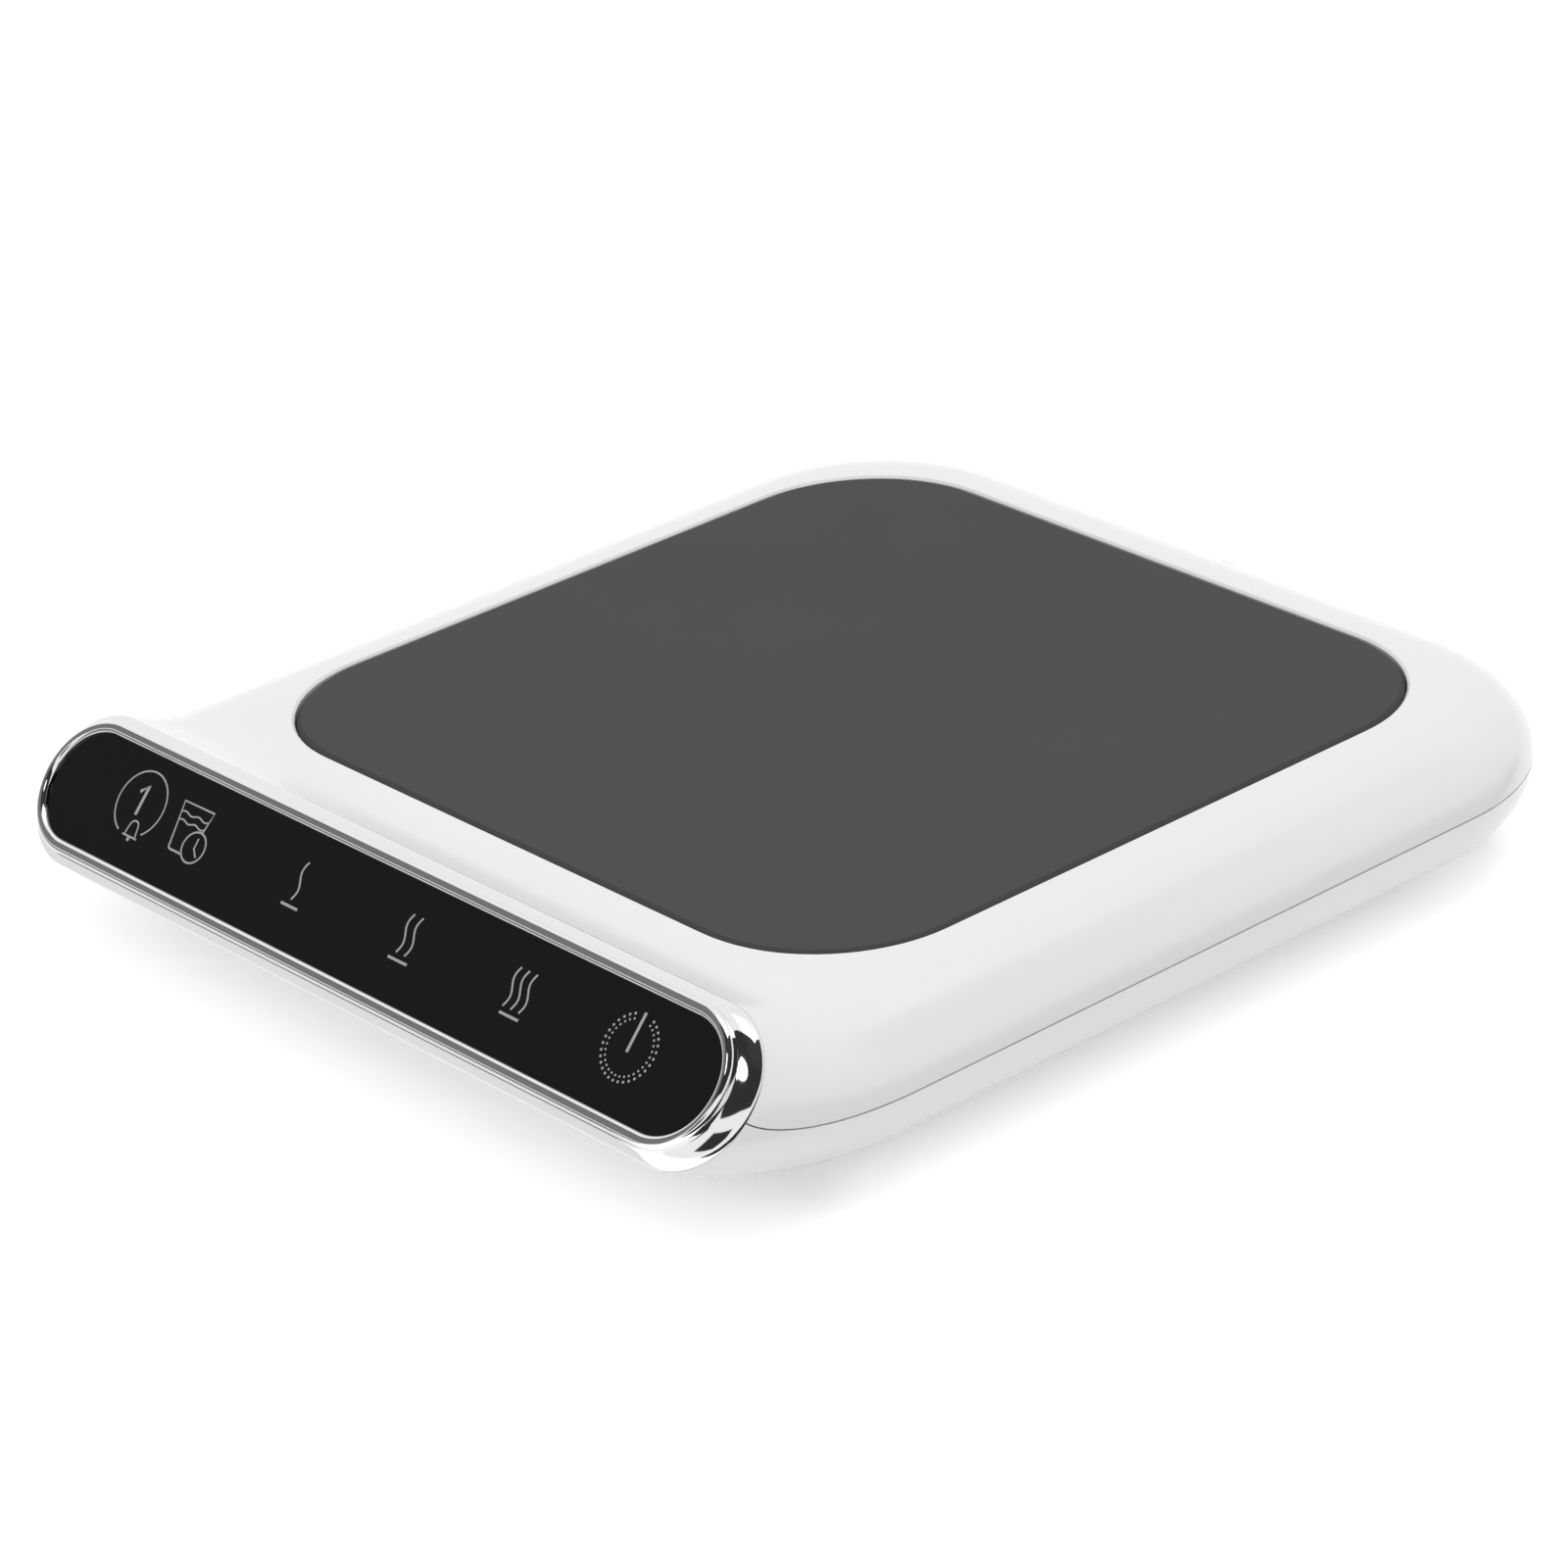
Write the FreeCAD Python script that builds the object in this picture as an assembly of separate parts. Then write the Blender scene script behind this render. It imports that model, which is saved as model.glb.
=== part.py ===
import FreeCAD, Part
import math
import os
from collections import namedtuple

# Electric mug warmer: a white pillow-shaped housing with a square heating plate set flush
# in its top, and a sloping black glass touch panel in a chrome bezel along its front.
# Lengths are in millimetres. While the pieces are made, x = 0 and y = 0 is the middle of
# the heating plate, the panel faces -y, and z = 0 is the table under the rubber feet.
# Each piece is moved at the end so that the origin lies under the middle of the product.

Vector = FreeCAD.Vector

# Housing
body_width = 129.0
body_rear = 65.1
body_height = 19.8
corner_radius = 26.0
equator_drop = 9.0
top_round = 13.0
base_round = 14.9
wall = 2.0
foot_stand = 1.5
seam_gap = 0.2
part_drop = 0.25
lip_height = 1.2
lip_clearance = 0.15

# Front neck, which blends the pillow into the sloping ring of the panel
neck_length = 24.0
neck_run_top = 8.5
neck_run_base = 11.0
flare_depth = 5.0
flare_out = 1.7
flare_up = 1.1
flare_lift = 0.6
parting_run = 10.0
parting_reach = 4.0
parting_dip = 1.0

# Touch panel and its chrome bezel
panel_tilt = 42.0
panel_forward = 73.4
panel_drop = 2.35
glass_length = 118.0
glass_height = 14.6
glass_thickness = 1.5
glass_clearance = 0.1
bead_width = 1.25
bead_stand = 0.7
band_depth = 2.3
band_flare_ends = 2.5
band_flare_sides = 1.25
bezel_gap = 0.12
adhesive_thickness = 0.2
adhesive_margin = 0.2
ledge_thickness = 1.2
window_margin_ends = 7.0
window_margin_sides = 2.5
spigot_wall = 1.2
spigot_length = 0.7
spigot_clearance = 0.35
bead_skirt = 0.7
bead_step = 0.2
glass_chamfer = 0.15

# Touch electronics behind the glass
key_places = (44.8, 26.6, 7.1, -12.5, -38.2)
lamp_places = (44.8, 26.6, 7.1, -12.5, -33.5, -42.9)
lamp_lift = 1.9
contact_radius = 1.6
contact_lift = -2.2
lamp_size = 1.6
lamp_thickness = 0.7
guide_clearance = 0.2
guide_depth = 3.0
touch_board_thickness = 1.2
touch_board_height = 11.4
touch_board_margin = 0.6
touch_screw_inset = 3.7
touch_screw_radius = 0.95
touch_screw_skin = 0.5
touch_boss_radius = 2.1
touch_head_radius = 1.8
touch_head_height = 1.3
touch_chip_place = 12.0
touch_chip_size = (7.0, 5.0, 1.2)
touch_plug_size = (9.0, 3.6, 3.0)
touch_plug_place = -14.0

# Heating plate and what is stacked under it
plate_side = 104.0
plate_corner = 18.5
plate_thickness = 3.0
plate_edge_round = 0.6
plate_gap = 0.25
opening_ease = 0.3
gasket_thickness = 0.5
ledge_width = 3.4
well_wall = 1.8
well_floor = 2.0
stack_side = 90.0
stack_corner = 5.0
mica_thickness = 0.4
foil_thickness = 0.2
foil_width = 3.4
foil_columns = 14
foil_half_x = 34.0
foil_half_y = 27.0
foil_tail = 0.3
clamp_side = 86.0
clamp_thickness = 0.8
pad_thickness = 2.0
shield_thickness = 0.5
stud_place = 39.5
stud_radius = 3.0
stud_clearance = 0.5
heater_screw_radius = 1.5
heater_head_radius = 2.8
heater_head_height = 1.4
stud_bite = 1.2
sensor_place = 36.0
sensor_radius = 3.0
sensor_window = 4.0
fuse_place = -36.0
thermal_fuse_radius = 1.9
thermal_fuse_length = 11.0
fuse_window_x = 14.0
fuse_window_y = 3.2
clip_thickness = 0.4
clip_width = 5.0
clip_length = 16.0
clip_hole_radius = 1.8
thermal_fuse_ease = 0.75
strap_width = 6.0
strap_reach = 6.4

# Circuit board on the floor of the housing
board_x = 84.0
board_y = 56.0
board_corner = 3.0
board_thickness = 1.6
board_centre_y = 2.0
board_post_height = 2.0
board_post_radius = 3.2
board_screw_inset = 4.5
board_screw_radius = 1.3
board_screw_skin = 0.8
board_head_radius = 2.3
board_head_height = 1.6
film_capacitor_size = (18.0, 8.0, 6.2)
film_capacitor_x = -25.0
film_capacitor_y = -8.0
case_ease = 0.6
can_radius = 3.1
can_length = 12.0
can_places = (-29.0, -21.0)
can_y = 2.0
can_ease = 0.5
transformer_core = (15.0, 5.8, 6.2)
transformer_bobbin = (9.0, 13.0, 5.3)
transformer_x = 17.0
transformer_y = 6.0
triac_size = (9.0, 8.0, 4.4)
triac_tab = (9.0, 5.6, 1.3)
triac_tab_reach = 6.4
triac_hole_radius = 1.6
triac_hole_reach = 6.8
triac_x = 32.0
triac_y = 2.0
fuse_radius = 2.6
fuse_length = 20.0
fuse_tube_radius = 2.3
fuse_cap_length = 4.8
fuse_lift = 0.4
fuse_clip = (4.2, 3.4, 2.6)
fuse_x = -3.0
fuse_y = -16.0
buzzer_radius = 4.8
buzzer_height = 5.5
buzzer_hole_radius = 1.0
buzzer_skin = 2.0
buzzer_x = -8.0
buzzer_y = 14.0
terminal_size = (15.0, 8.0, 6.0)
terminal_x = 22.0
terminal_pitch = 7.0
terminal_hole_radius = 1.6
terminal_hole_depth = 0.8
plug_size = (10.0, 6.0, 3.6)
chips = (
    ((8.0, 6.0, 1.6), 8.0, -8.0),
    ((6.0, 5.0, 2.5), 32.0, -11.0),
    ((5.0, 4.0, 1.5), 4.0, 10.0),
)

# Leads inside the housing
lead_diameter = 1.3
thin_lead = 0.9
lead_share = 0.45
touch_wires = 5
touch_wire_pitch = 1.5
foil_gap = 0.15
tail_turn = 1.9
terminal_run = 9.0
fuse_dip = 3.1
fuse_run = 8.5
fuse_straight = 3.5
fuse_turn = 1.0
plug_run = 14.0
plug_straight = 5.0

# Screws that close the housing, wells and feet
shell_screw_rear = 51.3
shell_screw_front_x = 56.0
shell_screw_behind_panel = 15.1
shell_screw_radius = 1.5
shell_screw_length = 8.0
shell_head_radius = 2.7
shell_head_height = 2.0
shell_post_radius = 3.0
post_roof = 2.0
pilot_spare = 0.5
well_radius = 3.0
well_side_wall = 1.2
screw_fit = 0.05
screw_free = 0.2
head_ease = 0.5
through = 1.0
foot_place = 41.0
foot_radius = 6.0
foot_recess = 1.0
foot_clearance = 0.2
foot_edge = 0.6

# Cord gland in the rear wall, and the vents in the base
gland_bore_radius = 2.8
gland_neck_radius = 4.0
gland_flange_radius = 4.8
gland_flange_thickness = 1.6
gland_inset = 0.8
gland_wall = 3.6
gland_clearance = 0.1
vent_count = 7
vent_pitch = 5.0
vent_width = 2.0
vent_length = 18.0
vent_place_x = 20.0

# Heights and places that follow from the sizes above
base = foot_stand
top = base + body_height
widest = top - equator_drop
floor = base + wall
corner_x = body_width / 2 - corner_radius
corner_y = body_rear - corner_radius
tilt = math.radians(panel_tilt)
panel_normal = Vector(0, -math.cos(tilt), math.sin(tilt))
panel_up = Vector(0, math.sin(tilt), math.cos(tilt))
panel_centre = Vector(0, -panel_forward, top - panel_drop)
bead_length = glass_length + 2 * bead_width
bead_height = glass_height + 2 * bead_width
ring_length = bead_length + 2 * band_flare_ends
ring_height = bead_height + 2 * band_flare_sides
ring_centre = panel_centre - panel_normal * band_depth

neck_start = panel_forward - neck_length
window_length = glass_length - 2 * window_margin_ends
window_height = glass_height - 2 * window_margin_sides
touch_screw_place = glass_length / 2 - touch_screw_inset

quarter_weight = math.sqrt(0.5)
reach_all = 200.0
small = 0.0001


# Plain solids

def box(x0, x1, y0, y1, z0, z1):
    return Part.makeBox(x1 - x0, y1 - y0, z1 - z0, Vector(x0, y0, z0))


def upright(radius, x, y, z0, z1):
    return Part.makeCylinder(radius, z1 - z0, Vector(x, y, z0))


def rounded_block(side_x, side_y, radius, z0, z1, x=0.0, y=0.0):
    block = box(x - side_x / 2, x + side_x / 2, y - side_y / 2, y + side_y / 2, z0, z1)
    corners = [edge for edge in block.Edges if abs(edge.Vertexes[0].Z - edge.Vertexes[-1].Z) > 0]
    return block.makeFillet(radius, corners)


def stadium_block(length, height, low, high, x=0.0, y=0.0):
    return rounded_block(length, height, height / 2 * 0.9999, low, high, x, y)


def fused(shapes):
    return shapes[0].multiFuse(shapes[1:]).removeSplitter() if len(shapes) > 1 else shapes[0]


def four_corners(x, y):
    return [(x, y), (-x, y), (-x, -y), (x, -y)]


# Rounded sections: a flat top and base joined on each side by two quarter-ellipses

Section = namedtuple("Section", "origin up reach top_flat base_flat high middle low")


def section_arcs(section):
    """The six stretches round a section, as three control points each."""

    def at(x, height):
        return section.origin + Vector(x, 0, 0) + section.up * height

    reach, high, middle, low = section.reach, section.high, section.middle, section.low
    top_flat, base_flat = section.top_flat, section.base_flat
    return [
        [at(-top_flat, high), at(0, high), at(top_flat, high)],
        [at(top_flat, high), at(reach, high), at(reach, middle)],
        [at(reach, middle), at(reach, low), at(base_flat, low)],
        [at(base_flat, low), at(0, low), at(-base_flat, low)],
        [at(-base_flat, low), at(-reach, low), at(-reach, middle)],
        [at(-reach, middle), at(-reach, high), at(-top_flat, high)],
    ]


def arc_weights(index):
    return [1, 1 if index in (0, 3) else quarter_weight, 1]


def arc_edge(poles, weights):
    curve = Part.BSplineCurve()
    curve.buildFromPolesMultsKnots(poles, [3, 3], [0, 1], False, 2, weights)
    return curve.toShape()


def flow_solid(sections):
    """Solid whose skin flows from the first section to the last, drawn by those between."""
    rings = [section_arcs(section) for section in sections]
    count = len(rings)
    faces = []
    for index in range(len(rings[0])):
        poles = [[ring[index][k] for ring in rings] for k in range(3)]
        weights = [[weight] * count for weight in arc_weights(index)]
        skin = Part.BSplineSurface()
        skin.buildFromPolesMultsKnots(
            poles, [3, 3], [count, count], [0, 1], [0, 1], False, False, 2, count - 1, weights
        )
        faces.append(skin.toShape())
    for ring in (rings[0], rings[-1]):
        outline = [arc_edge(poles, arc_weights(index)) for index, poles in enumerate(ring)]
        faces.append(Part.Face(Part.Wire(outline)))
    shell = Part.Shell(faces)
    shell.sewShape()
    solid = Part.Solid(shell)
    if solid.Volume < 0:
        solid.reverse()
    return solid


def stadium_section(length, height, level, lift=0.0):
    """Round-ended section across the panel's own axes, at a level along its normal."""
    half = height / 2
    flat = length / 2 - half
    return Section(Vector(0, lift, level), Vector(0, 1, 0), length / 2, flat, flat, half, 0, -half)


# Housing form

def quarter_ellipse(side, crown):
    """Quarter of an ellipse that is upright at side and level at crown."""
    centre = Vector(crown.x, 0, side.z)
    if abs(side.x - centre.x) >= abs(crown.z - centre.z):
        return Part.Arc(Part.Ellipse(side, crown, centre), 0, math.pi / 2).toShape()
    return Part.Arc(Part.Ellipse(crown, side, centre), -math.pi / 2, 0).toShape()


def edge_profile(reach, inset):
    """Upright face from x = 0 out to the rounded edge, lying inside the skin by inset."""
    high = top - inset
    low = base + inset
    crown = Vector(reach - top_round, 0, high)
    side = Vector(reach - inset, 0, widest)
    sole = Vector(reach - base_round, 0, low)
    outline = [
        Part.makeLine(Vector(0, 0, high), crown),
        quarter_ellipse(side, crown),
        quarter_ellipse(side, sole),
        Part.makeLine(sole, Vector(0, 0, low)),
        Part.makeLine(Vector(0, 0, low), Vector(0, 0, high)),
    ]
    return Part.Face(Part.Wire(outline))


def pillow(inset):
    """The housing behind the neck: straight sides, round rear corners and a rounded edge."""
    half = edge_profile(body_width / 2, inset)
    half.translate(Vector(0, -neck_start, 0))
    right = half.extrude(Vector(0, corner_y + neck_start, 0))
    left = right.mirror(Vector(0, 0, 0), Vector(1, 0, 0))
    turned = edge_profile(corner_radius, inset)
    corner = turned.revolve(Vector(0, 0, 0), Vector(0, 0, 1), 90)
    corner.translate(Vector(corner_x, corner_y, 0))
    other_corner = corner.mirror(Vector(0, 0, 0), Vector(1, 0, 0))
    rear_face = edge_profile(corner_radius, inset)
    rear_face.rotate(Vector(0, 0, 0), Vector(0, 0, 1), 90)
    rear_face.translate(Vector(-corner_x, corner_y, 0))
    rear = rear_face.extrude(Vector(2 * corner_x, 0, 0))
    return fused([right, left, corner, other_corner, rear])


def body_section(inset, run_top, run_base):
    """Section of the pillow, leaning forward by run_top at its top and run_base at its base."""
    lean = (run_base - run_top) / body_height
    origin = Vector(0, -neck_start - run_top - lean * top, 0)
    return Section(
        origin,
        Vector(0, lean, 1),
        body_width / 2 - inset,
        body_width / 2 - top_round,
        body_width / 2 - base_round,
        top - inset,
        widest,
        base + inset,
    )


def ring_section(inset, depth, lift, out_x, out_height):
    """Stadium parallel to the panel, behind the ring's plane by depth."""
    half = ring_height / 2 + out_height - inset
    reach = ring_length / 2 + out_x - inset
    flat = ring_length / 2 - ring_height / 2
    origin = ring_centre - panel_normal * depth + panel_up * lift
    return Section(origin, panel_up, reach, flat, flat, half, 0, -half)


def neck(inset):
    return flow_solid([
        body_section(inset, 0, 0),
        body_section(inset, neck_run_top, neck_run_base),
        ring_section(inset, flare_depth, flare_up, flare_out, flare_lift),
        ring_section(inset, 0, 0, 0, 0),
    ])


def housing_form(inset):
    return pillow(inset).fuse(neck(inset)).removeSplitter()


def parting_region(shift):
    """Everything above the seam, which runs level round the body and climbs to the ring."""
    level = widest - part_drop + shift
    ring_end = ring_centre - panel_up * parting_dip + Vector(0, 0, shift)
    neck_point = Vector(0, -neck_start, level)
    climb = Part.BezierCurve()
    climb.setPoles([
        neck_point,
        neck_point - Vector(0, parting_run, 0),
        ring_end - panel_normal * parting_reach,
        ring_end,
    ])
    outline = [
        Part.makeLine(Vector(0, reach_all, level), neck_point),
        climb.toShape(),
        Part.makeLine(ring_end, ring_end + panel_normal * reach_all),
        Part.makeLine(ring_end + panel_normal * reach_all, Vector(0, -reach_all, reach_all * 2)),
        Part.makeLine(Vector(0, -reach_all, reach_all * 2), Vector(0, reach_all, reach_all * 2)),
        Part.makeLine(Vector(0, reach_all, reach_all * 2), Vector(0, reach_all, level)),
    ]
    face = Part.Face(Part.Wire(outline))
    face.translate(Vector(-reach_all / 2, 0, 0))
    return face.extrude(Vector(reach_all, 0, 0))


# Placing what is drawn in the panel's own axes

panel_place = FreeCAD.Placement(panel_centre, FreeCAD.Rotation(Vector(1, 0, 0), 90 - panel_tilt))


def on_panel(shape):
    placed = shape.copy()
    placed.Placement = panel_place
    return placed


def shell_blank():
    """The hollow housing, open at the ring, before it is parted."""
    mouth = ring_section(wall, 0, 0, 0, 0)
    beyond = mouth._replace(origin=mouth.origin + panel_normal)
    return housing_form(0).cut(housing_form(wall)).cut(flow_solid([mouth, beyond]))


# Heating plate and the well that holds it

plate_under = top - plate_thickness
ledge_top = plate_under - gasket_thickness
well_side = plate_side + 2 * plate_gap
well_corner = plate_corner + plate_gap
ledge_side = well_side - 2 * ledge_width
ledge_corner = well_corner - ledge_width
mica_top = plate_under
foil_top = mica_top - mica_thickness
lower_mica_top = foil_top - foil_thickness
clamp_top = lower_mica_top - mica_thickness
pad_top = clamp_top - clamp_thickness
shield_top = pad_top - pad_thickness
shield_under = shield_top - shield_thickness
studs = four_corners(stud_place, stud_place)


def heating_plate():
    """Cast plate with an eased rim and four tapped studs underneath."""
    plate = rounded_block(plate_side, plate_side, plate_corner, plate_under, top)
    rim = [edge for edge in plate.Edges if edge.BoundBox.ZMin > top - plate_edge_round]
    plate = plate.makeChamfer(plate_edge_round, rim)
    depth = 2 * mica_thickness + foil_thickness - screw_fit
    pieces = [upright(stud_radius, x, y, plate_under - depth, plate_under) for x, y in studs]
    plate = fused([plate] + pieces)
    for x, y in studs:
        tap = heater_screw_radius + screw_fit
        plate = plate.cut(upright(tap, x, y, plate_under - depth, plate_under + stud_bite + pilot_spare))
    return plate


def plate_gasket():
    outer = rounded_block(plate_side, plate_side, plate_corner, ledge_top, plate_under)
    inner = rounded_block(ledge_side, ledge_side, ledge_corner, ledge_top, plate_under)
    return outer.cut(inner)


def plate_well():
    """Ring that hangs from the top skin round the plate, with a floor under its edge."""
    side = well_side + 2 * well_wall
    low = ledge_top - well_floor
    return rounded_block(side, side, well_corner + well_wall, low, top - wall / 2)


def plate_opening():
    recess = rounded_block(well_side, well_side, well_corner, ledge_top, top + wall)
    inside = rounded_block(ledge_side, ledge_side, ledge_corner, base, top + wall)
    side = well_side + 2 * opening_ease
    low = top - opening_ease
    flare = rounded_block(side, side, well_corner + opening_ease, low, top + wall)
    flare = flare.makeChamfer(opening_ease, [edge for edge in flare.Edges if edge.BoundBox.ZMax < top])
    return recess.multiFuse([inside, flare])


# Fixings between the two halves of the housing

part_level = widest - part_drop
screw_seat = part_level - seam_gap - post_roof


def shell_fixings():
    rear = shell_screw_rear
    front_x = shell_screw_front_x
    front_y = shell_screw_behind_panel - panel_forward
    return [(rear, rear), (-rear, rear), (-front_x, front_y), (front_x, front_y)]


def shaped_posts(radius, low, high):
    """Upright posts at the closing screws, trimmed to lie within the housing's wall."""
    posts = [upright(radius, x, y, low, high) for x, y in shell_fixings()]
    return Part.makeCompound(posts).common(housing_form(wall / 2)).Solids


def gland_boss():
    seat = gland_y - gland_flange_thickness - gland_clearance
    radius = gland_flange_radius + wall
    return along_rear(radius, seat - gland_wall, body_rear).common(housing_form(wall / 2))


def top_shell(blank):
    """Upper half of the housing, with the plate's well, screw posts and a rebate for the lip."""
    shell = blank.common(parting_region(0))
    rebate = housing_form(wall / 2).common(parting_region(-wall))
    shell = shell.cut(rebate.cut(parting_region(lip_height + lip_clearance)))
    posts = shaped_posts(shell_post_radius, part_level, top)
    boss = gland_boss().common(parting_region(0))
    shell = fused([shell, plate_well(), boss] + posts)
    shell = shell.cut(plate_opening()).cut(gland_space())
    pilot = shell_screw_radius + screw_fit
    tip = screw_seat + shell_screw_length + pilot_spare
    drills = [upright(pilot, x, y, base, tip) for x, y in shell_fixings()]
    return shell.cut(Part.makeCompound(drills))


def seam_lip():
    """Tongue on the lower half that stands inside the upper half's rebate."""
    strip = housing_form(wall / 2 + lip_clearance).cut(housing_form(wall))
    strip = strip.common(parting_region(-wall / 2)).cut(parting_region(lip_height - seam_gap))
    return strip.cut(along_rear(gland_flange_radius + wall + lip_clearance, corner_y, body_rear))


def vents():
    slots = []
    for side in (-1, 1):
        for index in range(vent_count):
            y = board_centre_y + (index - (vent_count - 1) / 2) * vent_pitch
            slot = stadium_block(vent_length, vent_width, 0, floor + wall, side * vent_place_x, y)
            slots.append(slot)
    return slots


def bottom_shell(blank):
    """Lower half, with the lip, screw wells, board posts, foot recesses and vents."""
    shell = blank.cut(parting_region(-seam_gap))
    towers = shaped_posts(well_radius + well_side_wall, base, part_level - seam_gap)
    posts = [upright(board_post_radius, x, y, base + wall / 2, board_under) for x, y in board_fixings()]
    boss = gland_boss().cut(parting_region(-seam_gap))
    shell = fused([shell, seam_lip(), boss] + towers + posts)
    holes = [upright(well_radius, x, y, 0, screw_seat) for x, y in shell_fixings()]
    shank = shell_screw_radius + screw_fit
    holes += [upright(shank, x, y, 0, top) for x, y in shell_fixings()]
    board_shank = board_screw_radius + screw_fit
    low = base + board_screw_skin
    holes += [upright(board_shank, x, y, low, board_top) for x, y in board_fixings()]
    recess = foot_radius + foot_clearance
    holes += [upright(recess, x, y, 0, base + foot_recess) for x, y in four_corners(foot_place, foot_place)]
    return shell.cut(Part.makeCompound(holes + vents())).cut(gland_space())


def headed_screw(x, y, seat, shank_radius, length, head_radius, head_height, upward):
    """Pan-head screw with its head bearing on a face at height seat."""
    if upward:
        head = upright(head_radius, x, y, seat - head_height, seat)
        shank = upright(shank_radius, x, y, seat, seat + length)
        rim_z = seat - head_height
    else:
        head = upright(head_radius, x, y, seat, seat + head_height)
        shank = upright(shank_radius, x, y, seat - length, seat)
        rim_z = seat + head_height
    rim = [edge for edge in head.Edges if abs(edge.BoundBox.ZMin - rim_z) < small
           and abs(edge.BoundBox.ZMax - rim_z) < small]
    head = head.makeChamfer(head_ease, rim)
    return head.fuse(shank).removeSplitter()


def shell_screws():
    return Part.makeCompound([
        headed_screw(x, y, screw_seat, shell_screw_radius, shell_screw_length,
                     shell_head_radius, shell_head_height, True)
        for x, y in shell_fixings()
    ])


def rubber_feet():
    feet = []
    for x, y in four_corners(foot_place, foot_place):
        foot = upright(foot_radius, x, y, 0, base + foot_recess)
        sole = [edge for edge in foot.Edges if edge.BoundBox.ZMax < small]
        feet.append(foot.makeChamfer(foot_edge, sole))
    return Part.makeCompound(feet)


# Rear gland: a grommet whose groove grips the wall, left open for the cord

gland_y = body_rear - gland_inset


def along_rear(radius, y0, y1):
    return Part.makeCylinder(radius, y1 - y0, Vector(0, y0, widest), Vector(0, 1, 0))


def gland_space():
    seat = gland_y - gland_flange_thickness - gland_clearance
    recess = along_rear(gland_flange_radius + gland_clearance, seat, body_rear + wall)
    hole = along_rear(gland_neck_radius + gland_clearance, seat - gland_wall - wall, body_rear + wall)
    return recess.fuse(hole)


def cord_gland():
    groove_end = gland_y - gland_flange_thickness
    groove_start = groove_end - gland_wall - 2 * gland_clearance
    tail = groove_start - gland_flange_thickness
    body = fused([
        along_rear(gland_flange_radius, groove_end, gland_y),
        along_rear(gland_neck_radius, groove_start, groove_end),
        along_rear(gland_flange_radius, tail, groove_start),
    ])
    return body.cut(along_rear(gland_bore_radius, tail - wall, body_rear + wall))


# Heater stack under the plate

def sheet(side, under, thickness, hole_radius, has_fuse_window):
    """Square sheet of the stack, pierced for the studs, the sensor and the thermal fuse."""
    blank = rounded_block(side, side, stack_corner, under, under + thickness)
    low = under - through
    high = under + thickness + through
    holes = [upright(hole_radius, x, y, low, high) for x, y in studs]
    holes.append(upright(sensor_window, 0, sensor_place, low, high))
    if has_fuse_window:
        front = fuse_place - fuse_window_y
        holes.append(box(-fuse_window_x, fuse_window_x, front, fuse_place + fuse_window_y, low, high))
    return blank.cut(Part.makeCompound(holes))


def heating_foil():
    """Etched resistance track: columns joined in turn at the back and at the front."""
    low = foil_top - foil_thickness
    half = foil_width / 2
    pitch = 2 * foil_half_x / (foil_columns - 1)
    tail_y = -stack_side / 2 - foil_tail
    runs = []
    for column in range(foil_columns):
        x = -foil_half_x + column * pitch
        front = tail_y if column in (0, foil_columns - 1) else -foil_half_y
        runs.append(box(x - half, x + half, front, foil_half_y, low, foil_top))
        if column < foil_columns - 1:
            end = foil_half_y if column % 2 == 0 else -foil_half_y
            runs.append(box(x - half, x + pitch + half, end - half, end + half, low, foil_top))
    return fused(runs)


def heater_screws():
    length = plate_under + stud_bite - shield_under
    return Part.makeCompound([
        headed_screw(x, y, shield_under, heater_screw_radius, length,
                     heater_head_radius, heater_head_height, True)
        for x, y in studs
    ])


def temperature_sensor():
    return upright(sensor_radius, 0, sensor_place, shield_under, plate_under)


def sensor_clip():
    """Flat spring across the sensor's window, pierced for its two leads."""
    long = clip_length / 2
    wide = clip_width / 2
    strip = box(-long, long, sensor_place - wide, sensor_place + wide,
                shield_under - clip_thickness, shield_under)
    return strip.cut(upright(clip_hole_radius, 0, sensor_place, base, shield_under))


def across(radius, x0, x1, y, z):
    return Part.makeCylinder(radius, x1 - x0, Vector(x0, y, z), Vector(1, 0, 0))


fuse_level = pad_top - thermal_fuse_radius


def thermal_fuse():
    half = thermal_fuse_length / 2
    body = across(thermal_fuse_radius, -half, half, fuse_place, fuse_level)
    ends = [edge for edge in body.Edges if edge.Curve.TypeId == "Part::GeomCircle"]
    return body.makeChamfer(thermal_fuse_ease, ends)


def fuse_strap():
    """Saddle that holds the thermal fuse up against the clamp plate."""
    width = strap_width / 2
    inner = thermal_fuse_radius + screw_fit
    loop = across(inner + clip_thickness, -width, width, fuse_place, fuse_level)
    front = fuse_place - strap_reach
    rear = fuse_place + strap_reach
    loop = loop.common(box(-width, width, front, rear, base, shield_under))
    feet = box(-width, width, front, rear, shield_under - clip_thickness, shield_under)
    hollow = across(inner, -2 * width, 2 * width, fuse_place, fuse_level)
    return loop.fuse(feet).cut(hollow)


# Main board

board_under = floor + board_post_height
board_top = board_under + board_thickness


def board_fixings():
    half_x = board_x / 2 - board_screw_inset
    half_y = board_y / 2 - board_screw_inset
    return [(x, board_centre_y + y) for x, y in four_corners(half_x, half_y)]


def main_board():
    board = rounded_block(board_x, board_y, board_corner, board_under, board_top, 0, board_centre_y)
    hole = board_screw_radius + 2 * screw_fit
    holes = [upright(hole, x, y, base, top) for x, y in board_fixings()]
    return board.cut(Part.makeCompound(holes))


def board_screws():
    length = board_top - base - board_screw_skin - screw_fit
    return Part.makeCompound([
        headed_screw(x, y, board_top, board_screw_radius, length,
                     board_head_radius, board_head_height, False)
        for x, y in board_fixings()
    ])


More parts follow.
